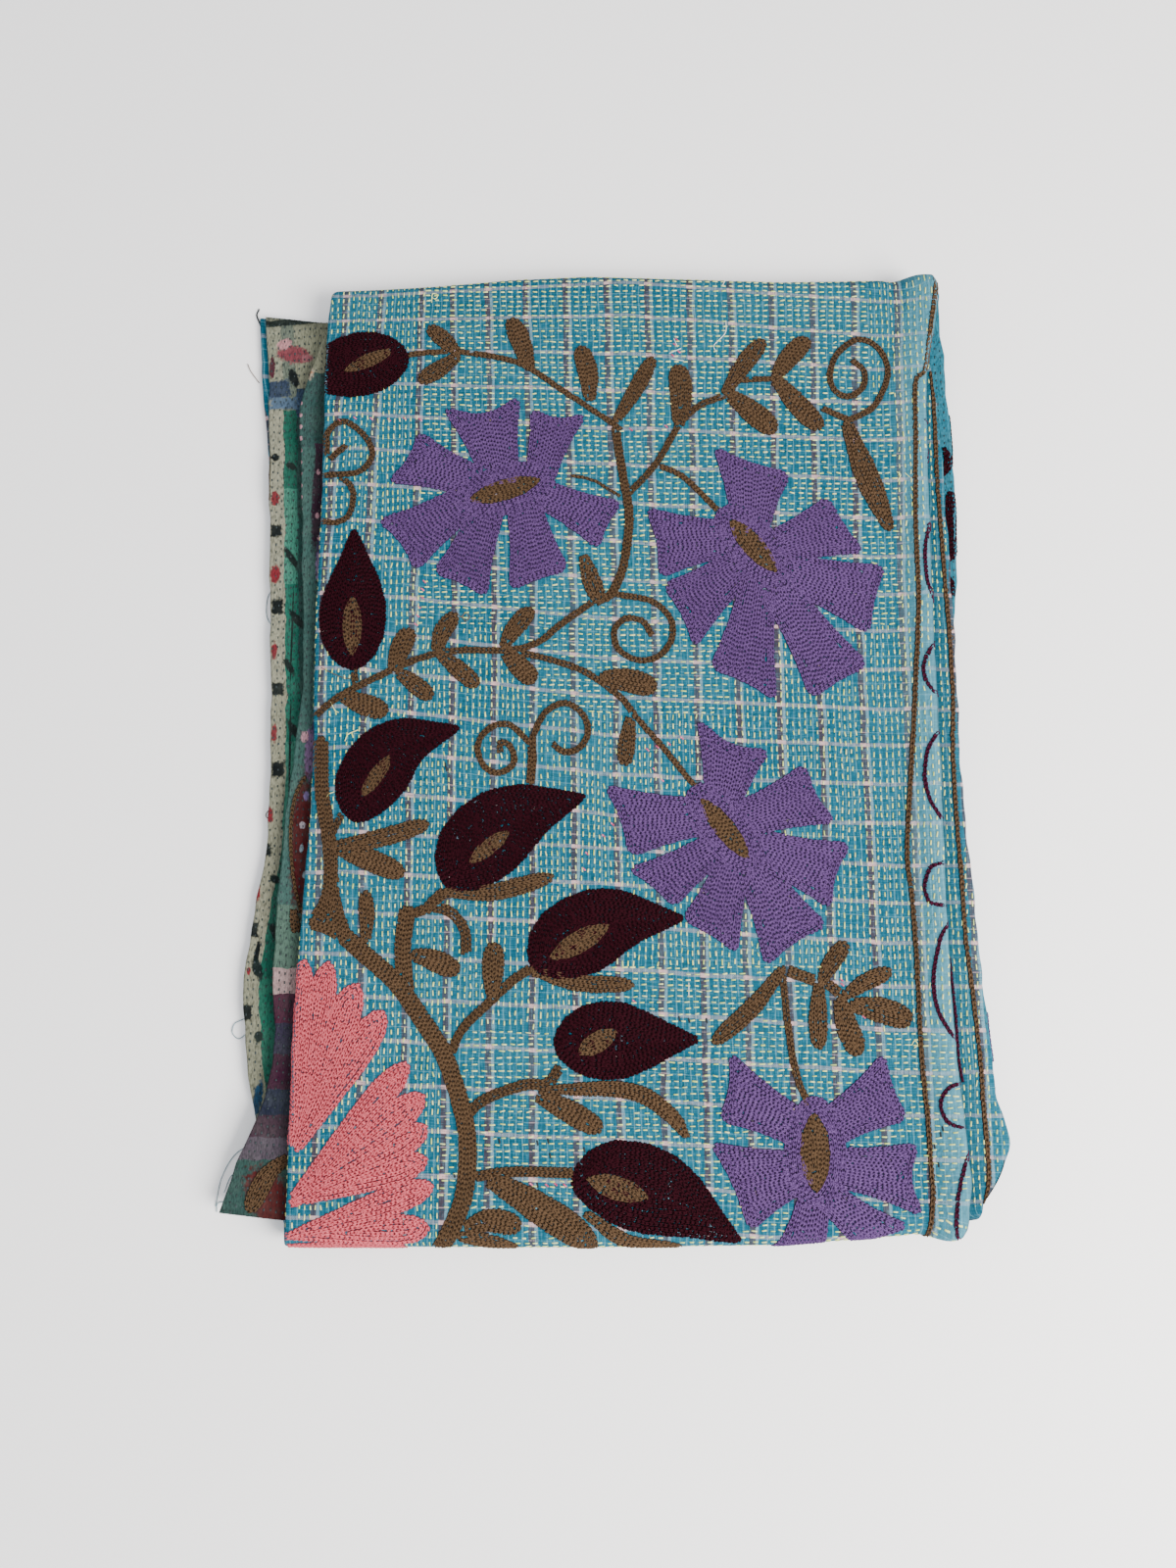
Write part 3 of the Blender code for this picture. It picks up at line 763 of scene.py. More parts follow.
def wool_yarn(name, groove_shade, body, crest_highlight):
    """Two-ply wool embroidery yarn: matte, a little hairy, with painted shade low down where it dips
    into the cloth and a painted highlight on its crest.
    """
    material, tree, shader = new_material(name, 0.95, 0.06)
    stitch = add(tree, "SeparateXYZ", [("Vector", add(tree, "UVMap", uv_map="stitch"))]).outputs
    spot = add(tree, "TexCoord").outputs["Object"]
    fibres = add(tree, "TexNoise", [("Vector", spot), ("Scale", 1500.0), ("Detail", 2.0)])
    # Colour by height within each strand and bed: painted shade at the foot, the yarn's own colour, a
    # painted highlight on top.
    ramp = add(tree, "ValToRGB", [("Fac", stitch["Y"])])
    set_stops(ramp, [(0.15, groove_shade), (0.6, body), (1.0, crest_highlight)])
    each = add(tree, "MapRange", [("Value", stitch["X"]), ("To Min", 0.0), ("To Max", 0.42)])
    dusk = add(tree, "MapRange", [("Value", fibres), ("From Min", 0.52), ("From Max", 0.3),
                                  ("To Max", 0.65)])
    fibred = lay_over(tree, ramp, (each, body), (dusk, groove_shade))
    bump = add(tree, "Bump", [("Height", fibres), ("Strength", 0.5), ("Distance", 0.25 * MM)])
    feed(tree, shader, [("Base Color", fibred), ("Normal", bump)])
    return material


def cotton_thread(name, one, other):
    """Stranded cotton sewing thread, slightly glossy, each stitch a little lighter or darker."""
    material, tree, shader = new_material(name, 0.6, 0.3)
    stitch = add(tree, "SeparateXYZ", [("Vector", add(tree, "UVMap", uv_map="stitch"))]).outputs
    feed(tree, shader, [("Base Color", lay_over(tree, one, (stitch["X"], other)))])
    return material


# ---------------------------------------------------------------- the cloth itself
def clear_selection():
    """Leaves no object selected."""
    for item in list(bpy.context.selected_objects):
        item.select_set(False)


def ready(piece):
    """Makes a piece the only selected object."""
    clear_selection()
    piece.select_set(True)
    bpy.context.view_layer.objects.active = piece


def make_quilt():
    """A flat grid laid along the folds, with its front up, then given the cloth's thickness."""
    rows, columns = sheet_points.shape[:2]
    clear_selection()
    bpy.ops.mesh.primitive_grid_add(x_subdivisions=columns - 1, y_subdivisions=rows - 1, size=2.0)
    quilt = bpy.context.object
    quilt.name = quilt.data.name = "quilt_cloth"
    flat = np.array([vertex.co[:2] for vertex in quilt.data.vertices])
    column = np.rint((flat[:, 0] + 1.0) / 2.0 * (columns - 1)).astype(int)
    row = np.rint((flat[:, 1] + 1.0) / 2.0 * (rows - 1)).astype(int)
    quilt.data.vertices.foreach_set("co", (sheet_points[row, column] * MM).ravel())
    bpy.ops.object.mode_set(mode="EDIT")
    bpy.ops.mesh.select_all(action="SELECT")
    bpy.ops.mesh.flip_normals()
    bpy.ops.object.mode_set(mode="OBJECT")
    corner = np.empty(len(quilt.data.loops), int)
    quilt.data.loops.foreach_get("vertex_index", corner)
    corner_row, corner_column = row[corner], column[corner]
    cloth_map = quilt.data.uv_layers[0]
    cloth_map.name = "cloth"
    flat_place = np.stack([check_u, check_v], -1)[corner_row, corner_column]
    cloth_map.data.foreach_set("uv", (flat_place * MM).ravel())
    hem_map = quilt.data.uv_layers.new(name="from_hem")
    panel = np.where(np.arange(rows) >= MIDDLE_START - FAR_TURN_ROWS // 2, 1.0, -1.0)
    hem_place = np.stack([from_hem[corner_row, corner_column] * MM, panel[corner_row]], -1)
    hem_map.data.foreach_set("uv", hem_place.ravel())
    pleat_map = quilt.data.uv_layers.new(name="from_pleat")
    from_pleat = (sheet_u - sheet_u[:, CREASE:CREASE + 1])[corner_row, corner_column]
    pleat_map.data.foreach_set("uv", np.stack([from_pleat * MM, 0.0 * from_pleat], -1).ravel())
    for material in (check_cotton(), patchwork_back(), hem_edge()):
        quilt.data.materials.append(material)
    ready(quilt)
    thicken = quilt.modifiers.new("cloth", "SOLIDIFY")
    thicken.thickness = CLOTH * MM
    thicken.offset = 0.0
    thicken.use_even_offset = True
    thicken.material_offset = 1
    thicken.material_offset_rim = 2
    bpy.ops.object.modifier_apply(modifier="cloth")
    bpy.ops.object.shade_smooth()
    return quilt


quilt = make_quilt()
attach(quilt, "root")
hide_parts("quilt")


# ---------------------------------------------------------------- rows of chain stitch
CURVE_STEPS = 24        # of a smooth curve between two of its points


def smooth_line(points, step=1.0):
    """Even steps along a smooth curve through a few points."""
    points = np.asarray(points, float)
    if len(points) > 2:
        padded = np.vstack([2 * points[0] - points[1], points, 2 * points[-1] - points[-2]])
        t = np.linspace(0.0, 1.0, CURVE_STEPS, endpoint=False)[:, None]
        parts = []
        for a, b, c, d in zip(padded, padded[1:], padded[2:], padded[3:]):
            parts.append(0.5 * (2 * b + (c - a) * t + (2 * a - 5 * b + 4 * c - d) * t**2
                                + (3 * b - a - 3 * c + d) * t**3))
        points = np.vstack(parts + [points[-1:]])
    gone = np.concatenate([[0.0], np.cumsum(np.linalg.norm(np.diff(points, axis=0), axis=1))])
    count = max(2, int(round(gone[-1] / step)) + 1)
    at = np.linspace(0.0, gone[-1], count)
    return np.stack([np.interp(at, gone, points[:, i]) for i in range(2)], 1)


def sideways(line):
    """The unit direction to the left of a line, at each of its points."""
    along = np.gradient(line, axis=0)
    along /= np.maximum(np.linalg.norm(along, axis=1, keepdims=True), 1e-9)
    return np.stack([-along[:, 1], along[:, 0]], 1)


def beside(line, offset):
    """A line moved to its left by an offset, one for all its points or one for each."""
    return line + sideways(line) * np.broadcast_to(offset, len(line))[:, None]


def depth_in(outline, places):
    """How deep inside a closed outline each place lies; negative outside it."""
    start, end = outline, np.roll(outline, -1, axis=0)
    edge = end - start
    to_place = places[:, None] - start
    share = np.clip((to_place * edge).sum(2) / np.maximum((edge ** 2).sum(1), 1e-9), 0.0, 1.0)
    gap = np.linalg.norm(to_place - share[..., None] * edge, axis=2).min(1)
    x, y = places[:, :1], places[:, 1:]
    spans = (start[:, 1] > y) != (end[:, 1] > y)
    rise_of = np.where(edge[:, 1] == 0.0, 1e-9, edge[:, 1])
    left_of = x < start[:, 0] + (y - start[:, 1]) * edge[:, 0] / rise_of
    inside = (spans & left_of).sum(1) % 2 == 1
    return np.where(inside, gap, -gap)


SHORTEST_ROW = 2.0


def pieces_of(line, good):
    """The stretches of a line whose points are good, without the shortest."""
    parts, current = [], []
    for point, keep in zip(line, good):
        if keep:
            current.append(point)
        elif current:
            parts.append(np.array(current))
            current = []
    if current:
        parts.append(np.array(current))
    return [part for part in parts if len(part) > 1
            and np.linalg.norm(np.diff(part, axis=0), axis=1).sum() >= SHORTEST_ROW]


RING_STEP = 0.8         # from point to point of a row along an outline
DEPTH_SLACK = 0.25      # how much less deep than meant its points may lie


def rows_along_outline(outline, depth):
    """Rows that follow a closed outline at one depth inside it, or outside it if negative."""
    ring = smooth_line(np.vstack([outline, outline[:1]]), RING_STEP)[:-1]
    ahead = np.roll(ring, -1, axis=0) - np.roll(ring, 1, axis=0)
    ahead /= np.maximum(np.linalg.norm(ahead, axis=1, keepdims=True), 1e-9)
    area = (ring[:, 0] * np.roll(ring[:, 1], -1) - np.roll(ring[:, 0], -1) * ring[:, 1]).sum()
    inward = np.stack([-ahead[:, 1], ahead[:, 0]], 1) * (1.0 if area > 0 else -1.0)
    moved = ring + inward * depth
    found = depth_in(ring, moved)
    good = found > depth - DEPTH_SLACK if depth > 0 else found < depth + DEPTH_SLACK
    if good.all():
        return [np.vstack([moved, moved[:1]])]
    first = int(np.argmin(good))
    return pieces_of(np.roll(moved, -first, axis=0), np.roll(good, -first))


# Half-widths along a shape, from its base to its tip, as shares of its length and its width.
LEAF = [(0.0, 0.5), (0.15, 0.7), (0.4, 0.95), (0.62, 1.02), (0.8, 0.94), (0.91, 0.78), (0.97, 0.52),
        (1.0, 0.2)]
LENS = [(0.0, 0.5), (0.15, 0.66), (0.4, 0.98), (0.6, 1.0), (0.78, 0.8), (0.93, 0.56), (1.0, 0.3)]
FINGER = [(0.0, 0.28), (0.3, 0.62), (0.6, 0.98), (0.78, 1.08), (0.89, 0.94), (0.96, 0.62), (1.0, 0.15)]
BUD = [(0.0, 0.08), (0.03, 0.36), (0.1, 0.66), (0.22, 0.92), (0.36, 1.0), (0.5, 0.95), (0.65, 0.74),
       (0.8, 0.44), (0.92, 0.22), (1.0, 0.07)]
SPINDLE = [(0.0, 0.08), (0.08, 0.42), (0.25, 0.85), (0.5, 1.0), (0.75, 0.85), (0.92, 0.42),
           (1.0, 0.08)]


def outline_of(axis_points, width, profile):
    """A closed outline round an axis: its width at the widest, and the profile of the rest."""
    axis = smooth_line(axis_points, 1.0)
    share = np.linspace(0.0, 1.0, len(axis))
    half = width / 2.0 * np.interp(share, *zip(*profile))
    return np.vstack([beside(axis, half), beside(axis, -half)[::-1]])


FLARE, FLARE_OUT = 2.6, 2.0     # a petal's far corners stand out this much, aside and outwards
HOLLOW = 2.8                    # its sides are drawn in by this
ROUNDING = (1.0, 15.0, 9.5, 12.0, 9.5, 15.0, 1.0)       # of its corners, from base round to base


def petal_outline(root, one, other, base, notch):
    """A petal: its sides hollow, its two far corners flared and rounded, its end notched."""
    root, one, other = (np.asarray(p, float) for p in (root, one, other))
    out = (one + other) / 2.0 - root
    out /= np.linalg.norm(out)
    side = one - other
    side /= np.linalg.norm(side)
    base_one, base_other = root + side * base / 2.0, root - side * base / 2.0
    end = (one + other) / 2.0 - out * notch
    one = one + side * FLARE + out * FLARE_OUT
    other = other - side * FLARE + out * FLARE_OUT
    corners = [base_one, base_one * 0.45 + one * 0.55 - side * HOLLOW, one, end, other,
               base_other * 0.45 + other * 0.55 + side * HOLLOW, base_other]
    outline = []
    for i, corner in enumerate(corners):
        for toward in (corners[i - 1], corners[(i + 1) % len(corners)]):
            length = np.linalg.norm(toward - corner)
            reach = min(ROUNDING[i], length * 0.42)
            outline.append(corner + (toward - corner) * reach / length)
        a, b = outline[-2], outline[-1]
        t = np.linspace(0.0, 1.0, 9)[:, None]
        turned = 3 * t * (1 - t) * ((1 - t) * (a + corner) / 2.0 + t * (b + corner) / 2.0)
        outline[-2:] = list((1 - t) ** 3 * a + turned + t**3 * b)
    return np.array(outline)


links = {}              # (yarn, face): list of arrays of rows (a, b, heading, length, width)
faces = {"front": front, "border": border, "middle_back": middle_back, "bottom_back": bottom_back}
OVERLAP = 1.36                              # a link's length, as a share of the pitch
OFF_PLACE, OFF_TURN, OFF_SIZE = 0.12, 0.07, 0.06        # how uneven links are: mm, radians, share
FILLED_ROUND, COVERED_ROUND = 2.05, 2.9     # how far round a link the cloth is covered
HEADING_REACH = 0.8                         # a link's heading is taken from this far each way


def lay(yarn, line, on="front", pitch=3.3, width=3.5, room=1.9, always=False):
    """Lays one row of chain stitch along a line, leaving out links that have no room."""
    face = faces[on]
    steps = np.linalg.norm(np.diff(line, axis=0), axis=1)
    gone = np.concatenate([[0.0], np.cumsum(steps)])
    count = max(1, int(round(gone[-1] / pitch)))
    phase = chance.uniform(0.02, 0.98) if count > 4 else 0.5    # so that links side by side differ
    at = (np.arange(count) + phase) * gone[-1] / count
    places = np.stack([np.interp(at, gone, line[:, i]) for i in range(2)], 1)
    ahead, behind = np.minimum(at + HEADING_REACH, gone[-1]), np.maximum(at - HEADING_REACH, 0.0)
    heading = np.arctan2(*(np.interp(ahead, gone, line[:, i]) - np.interp(behind, gone, line[:, i])
                           for i in (1, 0)))
    free = np.ones(count, bool) if always else ~face.marked(face.taken, places)
    if not free.any():
        return
    places, heading = places[free], heading[free]
    face.stamp(face.taken, places, room)
    face.stamp(face.filled, places, FILLED_ROUND)
    face.stamp(face.covered, places, COVERED_ROUND)
    some = len(places)
    places = places + chance.normal(0.0, OFF_PLACE, (some, 2))
    rows = np.column_stack([
        places, heading + chance.normal(0.0, OFF_TURN, some),
        pitch * OVERLAP * (1.0 + chance.normal(0.0, OFF_SIZE, some)),
        width * (1.0 + chance.normal(0.0, OFF_SIZE, some))])
    links.setdefault((yarn, on), []).append(rows)


def close_holes(yarn, outline, along, on="front"):
    """Single links wherever the rows have left cloth bare inside a shape."""
    face = faces[on]
    low, high = outline.min(0), outline.max(0)
    places = np.stack(np.meshgrid(*(np.arange(a, b, 0.9) for a, b in zip(low, high))), -1)
    places = places.reshape(-1, 2)
    places = places[depth_in(outline, places) > 1.0]        # 1 mm in, so that no link sticks out
    places = places[~face.marked(face.filled, places)]
    for place in places:
        if not face.marked(face.filled, place[None])[0]:
            near = int(np.linalg.norm(along - place, axis=1).argmin())
            ahead = along[min(near + 1, len(along) - 1)] - along[max(near - 1, 0)]
            step = 1.2 * ahead / np.linalg.norm(ahead)
            lay(yarn, np.array([place - step, place + step]), on, pitch=2.4, always=True)


def fill_outline(yarn, outline, along, deepest, spacing, on="front", room=1.9):
    """Fills a shape with rows that follow its outline, from the outside in.

    Holes left in the middle are filled with single links along a line through the shape.
    """
    count = max(1, int(round(deepest / spacing)))
    step = deepest / count
    for k in range(count):
        for row in rows_along_outline(outline, (k + 0.5) * step):
            lay(yarn, row, on, room=room)
    close_holes(yarn, outline, along, on)


STEM_ROW = 2.6                          # a stem has about one row for each of these
STEM_GAPS = (1.7, 2.5)                  # the least and the most from row to row in it
THIN_STEM, FINE_LINK, STEM_LINK = 9.5, 2.7, 3.3         # a thin stem is sewn with finer links
COURSE_STEP = 0.8                       # from point to point along its course


def stem(points, width, yarn="brown", on="front", height=TOP_FACE):
    """A stem of one or more rows side by side along a curve, with rounded ends."""
    line, width = smooth_line(chart(points, height), COURSE_STEP), width * UNIT
    link = FINE_LINK if width < THIN_STEM else STEM_LINK
    count = max(1, int(round((width - 1.0) / STEM_ROW)))
    step = (width - 1.35 * link) / max(count - 1, 1)
    step = min(max(step, STEM_GAPS[0]), STEM_GAPS[1])
    radius = step * (count - 1) / 2.0 + 1.0
    for k in range(count):
        offset = (k - (count - 1) / 2.0) * step
        cut = int((radius - math.sqrt(radius**2 - offset**2)) / COURSE_STEP)
        lay(yarn, beside(line, offset)[cut:len(line) - cut], on, width=link, room=1.5)


def leaf(points, width, profile=LEAF, yarn="brown", spacing=2.85, on="front", height=TOP_FACE):
    """A leaf from its base to its tip; width at its widest, in units of the image."""
    axis, width = smooth_line(chart(points, height)), width * UNIT
    fill_outline(yarn, outline_of(axis, width, profile), axis, width / 2.0, spacing, on)


def scroll(points):
    """A tendril of two rows of fine links."""
    line = smooth_line(chart(points), 0.6)
    for offset in (-1.1, 1.1):
        lay("brown", beside(line, offset), pitch=3.2, width=2.6, room=1.7)


PETAL_ROW = 2.9                         # from row to row of a petal's filling
PETAL_EDGE_ROWS = (1.6, 4.4)            # depths of the rows along its outline
PETAL_FILLING = 5.6                     # depth where its filling starts
HEART_RINGS = (1.6, 4.4, 7.2, 10.0)     # distances of the rings of yarn from the spindle


def flower(spindle, spindle_width, petals):
    """A flower: a brown spindle, rings of yarn round it, then its petals, fanned."""
    ends = smooth_line(chart(spindle))
    heart = outline_of(ends, spindle_width * UNIT, SPINDLE)
    fill_outline("brown", heart, ends, spindle_width * UNIT / 2.0, 2.7, room=1.7)
    for distance in HEART_RINGS:
        for row in rows_along_outline(heart, -distance):
            lay("purple", row)
    shapes = []
    for root, one, other, notch in petals:
        root, one, other = chart([root, one, other])
        spread = np.linalg.norm(one - other)
        base = min(0.58 * spread, 26.0)
        outline = petal_outline(root, one, other, base, notch * UNIT)
        out, side = (one + other) / 2.0 - root, (one - other) / spread
        shapes.append((outline, root, out, side, spread, base))
        for depth in PETAL_EDGE_ROWS:
            for row in rows_along_outline(outline, depth):
                lay("purple", row)
    for outline, root, out, side, spread, base in shapes:
        count = int(spread / PETAL_ROW) + 2
        for k in sorted(range(-count, count + 1), key=lambda k: (k % 2, abs(k))):
            share = k * PETAL_ROW / spread
            line = smooth_line([root - out * 0.1 + side * share * base,
                                root + out * 1.12 + side * share * spread], 0.8)
            for row in pieces_of(line, depth_in(outline, line) > PETAL_FILLING):
                lay("purple", row, room=1.7)
        close_holes("purple", outline, smooth_line([root, root + out]))


def bud(axis_points, width, centre, centre_width):
    """A maroon bud from its blunt end to its tip, round a brown almond."""
    axis, width = smooth_line(chart(axis_points)), width * UNIT
    heart, centre_width = smooth_line(chart(centre)), centre_width * UNIT
    almond = outline_of(heart, centre_width, SPINDLE)
    fill_outline("brown", almond, heart, centre_width / 2.0, 2.7, room=1.7)
    for row in rows_along_outline(almond, -1.6):
        lay("maroon", row, room=1.8)
    fill_outline("maroon", outline_of(axis, width, BUD), axis, width / 2.0, 2.8, room=1.8)


# ---------------------------------------------------------------- the embroidery
# Places are u, v in the image and widths are in its units, at the widest of a shape.
FLOWERS = [                             # spindle, its width, petals as (base, corner, corner, notch)
    (((479, 510), (551, 489)), 23, [
        ((486, 492), (396, 490), (427, 440), 7), ((480, 508), (424, 581), (386, 531), 6),
        ((501, 512), (495, 608), (443, 584), 3), ((533, 508), (579, 581), (521, 601), 1),
        ((546, 500), (634, 513), (611, 559), 4), ((549, 490), (543, 416), (597, 422), 10),
        ((513, 494), (453, 416), (529, 404), 16)]),
    (((745, 530), (792, 583)), 23, [
        ((765, 545), (729, 457), (806, 483), 3), ((782, 562), (845, 507), (881, 562), 2),
        ((790, 578), (903, 578), (887, 645), 3), ((788, 590), (885, 678), (829, 711), 1),
        ((776, 585), (791, 714), (726, 682), 4), ((764, 570), (709, 659), (677, 597), 4),
        ((752, 548), (660, 519), (673, 588), 5)]),
    (((716, 815), (764, 876)), 21, [
        ((735, 825), (712, 733), (785, 765), 13), ((752, 838), (822, 780), (852, 838), 6),
        ((766, 862), (868, 862), (848, 926), 7), ((768, 882), (843, 944), (782, 985), 4),
        ((752, 875), (752, 972), (697, 938), 2), ((738, 860), (687, 925), (642, 887), 3),
        ((726, 832), (618, 802), (643, 873), 4)]),
    (((831, 1136), (833, 1217)), 29, [
        ((822, 1155), (745, 1075), (734, 1142), 6), ((845, 1152), (902, 1076), (926, 1142), 3),
        ((824, 1192), (726, 1166), (766, 1256), 3), ((846, 1190), (938, 1168), (943, 1240), 12),
        ((832, 1222), (845, 1296), (788, 1284), 4), ((842, 1218), (928, 1252), (882, 1284), 4)]),
]
BUDS = [                                # blunt end to tip, width, the almond's ends and width
    ([(417, 364), (375, 370), (330, 378), (285, 392)], 72, [(351, 378), (402, 357)], 15),
    ([(361, 683), (359, 640), (361, 590), (361, 540)], 70, [(359, 668), (359, 608)], 20),
    ([(360, 838), (378, 795), (410, 760), (468, 742)], 72, [(369, 813), (399, 770)], 15),
    ([(455, 905), (490, 862), (532, 832), (597, 812)], 84, [(478, 881), (520, 847)], 16),
    ([(541, 985), (585, 958), (630, 940), (697, 937)], 80, [(561, 978), (621, 944)], 22),
    ([(565, 1066), (610, 1062), (650, 1062), (712, 1061)], 76, [(590, 1075), (629, 1052)], 20),
    ([(583, 1205), (630, 1206), (685, 1225), (756, 1268)], 84, [(599, 1203), (661, 1222)], 23),
]
PINK_FINGERS = [                        # base, tip, width
    ((296, 1172), (309, 979), 24), ((297, 1172), (335, 981), 27), ((299, 1172), (364, 1003), 31),
    ((301, 1176), (391, 1031), 30),
    ((297, 1222), (416, 1085), 26), ((297, 1226), (433, 1117), 30), ((298, 1229), (436, 1150), 29),
    ((294, 1229), (436, 1183), 27),
    ((289, 1264), (442, 1210), 26), ((290, 1262), (438, 1254), 28), ((290, 1276), (413, 1281), 26),
]
LEAVES = [                              # base to tip, width
    ([(469, 362), (455, 348), (437, 333)], 18), ([(469, 362), (448, 376), (427, 389)], 19),
    ([(541, 377), (532, 350), (521, 325)], 21), ([(602, 408), (600, 380), (592, 353)], 21),
    ([(628, 430), (648, 398), (667, 364)], 17), ([(692, 434), (695, 405), (692, 372)], 24),
    ([(739, 403), (757, 375), (780, 346)], 20), ([(791, 385), (806, 364), (825, 345)], 21),
    ([(744, 402), (765, 418), (792, 440)], 25), ([(791, 386), (812, 410), (838, 437)], 23),
    ([(595, 566), (603, 590), (613, 616)], 20),
    ([(348, 709), (370, 718), (395, 726)], 22), ([(401, 684), (408, 662), (419, 641)], 21),
    ([(404, 684), (422, 697), (441, 712)], 19), ([(445, 667), (451, 645), (465, 625)], 20),
    ([(447, 666), (467, 682), (488, 700)], 19), ([(513, 661), (525, 641), (543, 620)], 20),
    ([(515, 664), (530, 680), (546, 695)], 21), ([(612, 691), (640, 694), (670, 702)], 25),
    ([(643, 732), (640, 756), (637, 781)], 18), ([(337, 864), (385, 856), (438, 840)], 19),
    ([(338, 862), (376, 877), (412, 892)], 22), ([(373, 962), (374, 935), (373, 909)], 15),
    ([(452, 911), (505, 910), (565, 894)], 18), ([(420, 974), (440, 979), (468, 991)], 21),
    ([(502, 1018), (503, 990), (504, 962)], 21), ([(543, 991), (590, 1003), (647, 1005)], 17),
    ([(557, 1112), (640, 1113), (680, 1134), (702, 1161)], 16),
    ([(548, 1118), (580, 1134), (614, 1153)], 22),
    ([(499, 1203), (545, 1230), (588, 1260), (606, 1284)], 30),
    ([(597, 1238), (640, 1268), (697, 1277)], 15),
    ([(474, 1254), (500, 1246), (531, 1252)], 22), ([(466, 1262), (498, 1269), (528, 1279)], 17),
    ([(800, 988), (768, 1028), (727, 1065)], 18), ([(838, 1004), (847, 985), (864, 961)], 18),
    ([(836, 1002), (835, 1035), (836, 1071)], 19), ([(857, 1018), (864, 1045), (877, 1077)], 22),
    ([(860, 1018), (882, 1003), (910, 990)], 17), ([(868, 1025), (900, 1031), (931, 1042)], 25),
]
STEMS = [                               # course, width
    ([(415, 362), (442, 359), (472, 359), (529, 370), (576, 399), (620, 428), (632, 437)], 8),
    ([(628, 436), (634, 474), (640, 508), (642, 531), (637, 573), (625, 604), (608, 614)], 11),
    ([(640, 505), (670, 472), (692, 435), (712, 415), (738, 404)], 9),
    ([(750, 388), (770, 387), (793, 386)], 8), ([(671, 474), (698, 487), (733, 521)], 8),
    ([(583, 485), (604, 489), (633, 506)], 7), ([(838, 416), (852, 422), (866, 428)], 9),
    ([(321, 730), (346, 710), (398, 684), (435, 669), (472, 663), (516, 663), (547, 656),
      (576, 634), (608, 612)], 9),
    ([(520, 664), (555, 671), (590, 682), (611, 694), (634, 712), (646, 727)], 10),
    ([(360, 677), (363, 699)], 9), ([(349, 829), (338, 852)], 9),
    ([(327, 752), (328, 809), (334, 848), (337, 888), (333, 918), (322, 938)], 17),
    ([(333, 850), (338, 888), (340, 920), (352, 958)], 17),
    ([(314, 938), (341, 948), (372, 974), (404, 1003), (428, 1037), (451, 1073), (464, 1107),
      (474, 1144), (477, 1175), (474, 1215), (464, 1246), (447, 1280)], 20),
    ([(414, 1014), (411, 966), (416, 926)], 19), ([(432, 932), (442, 920), (458, 908)], 14),
    ([(416, 935), (440, 926), (461, 932), (474, 950), (476, 974)], 13),
    ([(458, 1079), (472, 1050), (498, 1024), (524, 1000), (547, 985)], 11),
    ([(472, 1146), (484, 1130), (503, 1118), (537, 1107), (558, 1106), (571, 1090)], 13),
    ([(484, 1201), (524, 1196), (586, 1197)], 12),
    ([(798, 987), (805, 1052), (813, 1097), (825, 1127)], 10), ([(804, 990), (832, 1001)], 14),
    ([(843, 1003), (855, 1012), (860, 1022)], 13), ([(672, 757), (711, 804)], 8),
    ([(646, 728), (672, 757)], 8), ([(541, 801), (543, 775), (542, 754)], 11),
    ([(828, 1228), (829, 1240)], 9), ([(297, 960), (303, 926)], 12),
]
SCROLLS = [                             # course
    [(866, 429), (892, 414), (906, 383), (899, 358), (878, 346), (856, 359), (847, 382),
     (853, 399), (867, 404), (881, 394), (882, 378), (871, 368)],
    [(628, 606), (664, 613), (684, 631), (685, 653), (671, 670), (650, 673), (631, 662),
     (627, 643), (639, 631), (656, 634), (665, 648)],
    [(541, 758), (519, 739), (498, 744), (487, 762), (495, 783), (511, 788), (524, 778),
     (521, 762), (511, 757), (510, 768)],
    [(543, 753), (555, 728), (576, 717), (594, 728), (600, 746), (592, 762), (576, 767),
     (563, 758)],
    [(333, 463), (334, 440), (350, 429), (369, 441), (379, 457), (377, 470), (364, 481),
     (341, 483), (326, 484)],
    [(343, 483), (356, 493), (360, 506), (355, 525), (341, 532), (324, 529)],
    [(353, 453), (336, 467)],
]
BORDER_LINE = [(957, 279), (948, 345), (943, 380), (934, 392), (934, 446), (934, 531), (937, 606),
               (935, 684), (931, 768), (926, 867), (930, 909), (934, 954), (938, 1024), (941, 1080),
               (947, 1136), (951, 1192), (953, 1220), (950, 1272)]
BORDER_WAVES = [
    [(944, 427), (951, 434), (953, 447), (949, 458), (948, 466), (951, 480)],
    [(950, 530), (945, 560), (947, 590), (954, 612)],
    [(957, 652), (946, 670), (944, 686), (950, 700), (960, 710)],
    [(962, 742), (949, 762), (945, 790), (950, 815), (962, 836)],
    [(967, 880), (952, 884), (945, 902), (950, 920), (968, 925)],
    [(970, 938), (960, 960), (954, 1000), (960, 1035), (980, 1066)],
    [(987, 1104), (970, 1110), (962, 1127), (970, 1146), (990, 1152)],
    [(996, 1160), (986, 1190), (980, 1220), (979, 1250), (989, 1258), (994, 1253)],
]
BORDER_STEM = [(969, 975), (972, 1000), (976, 1040), (979, 1080), (983, 1104)]
SECOND_LINE = [(951, 380), (954, 420), (958, 502), (970, 656), (973, 712), (973, 768), (977, 838),
               (982, 895), (986, 954), (993, 1010), (1001, 1080), (1005, 1136), (1010, 1192),
               (1007, 1231)]

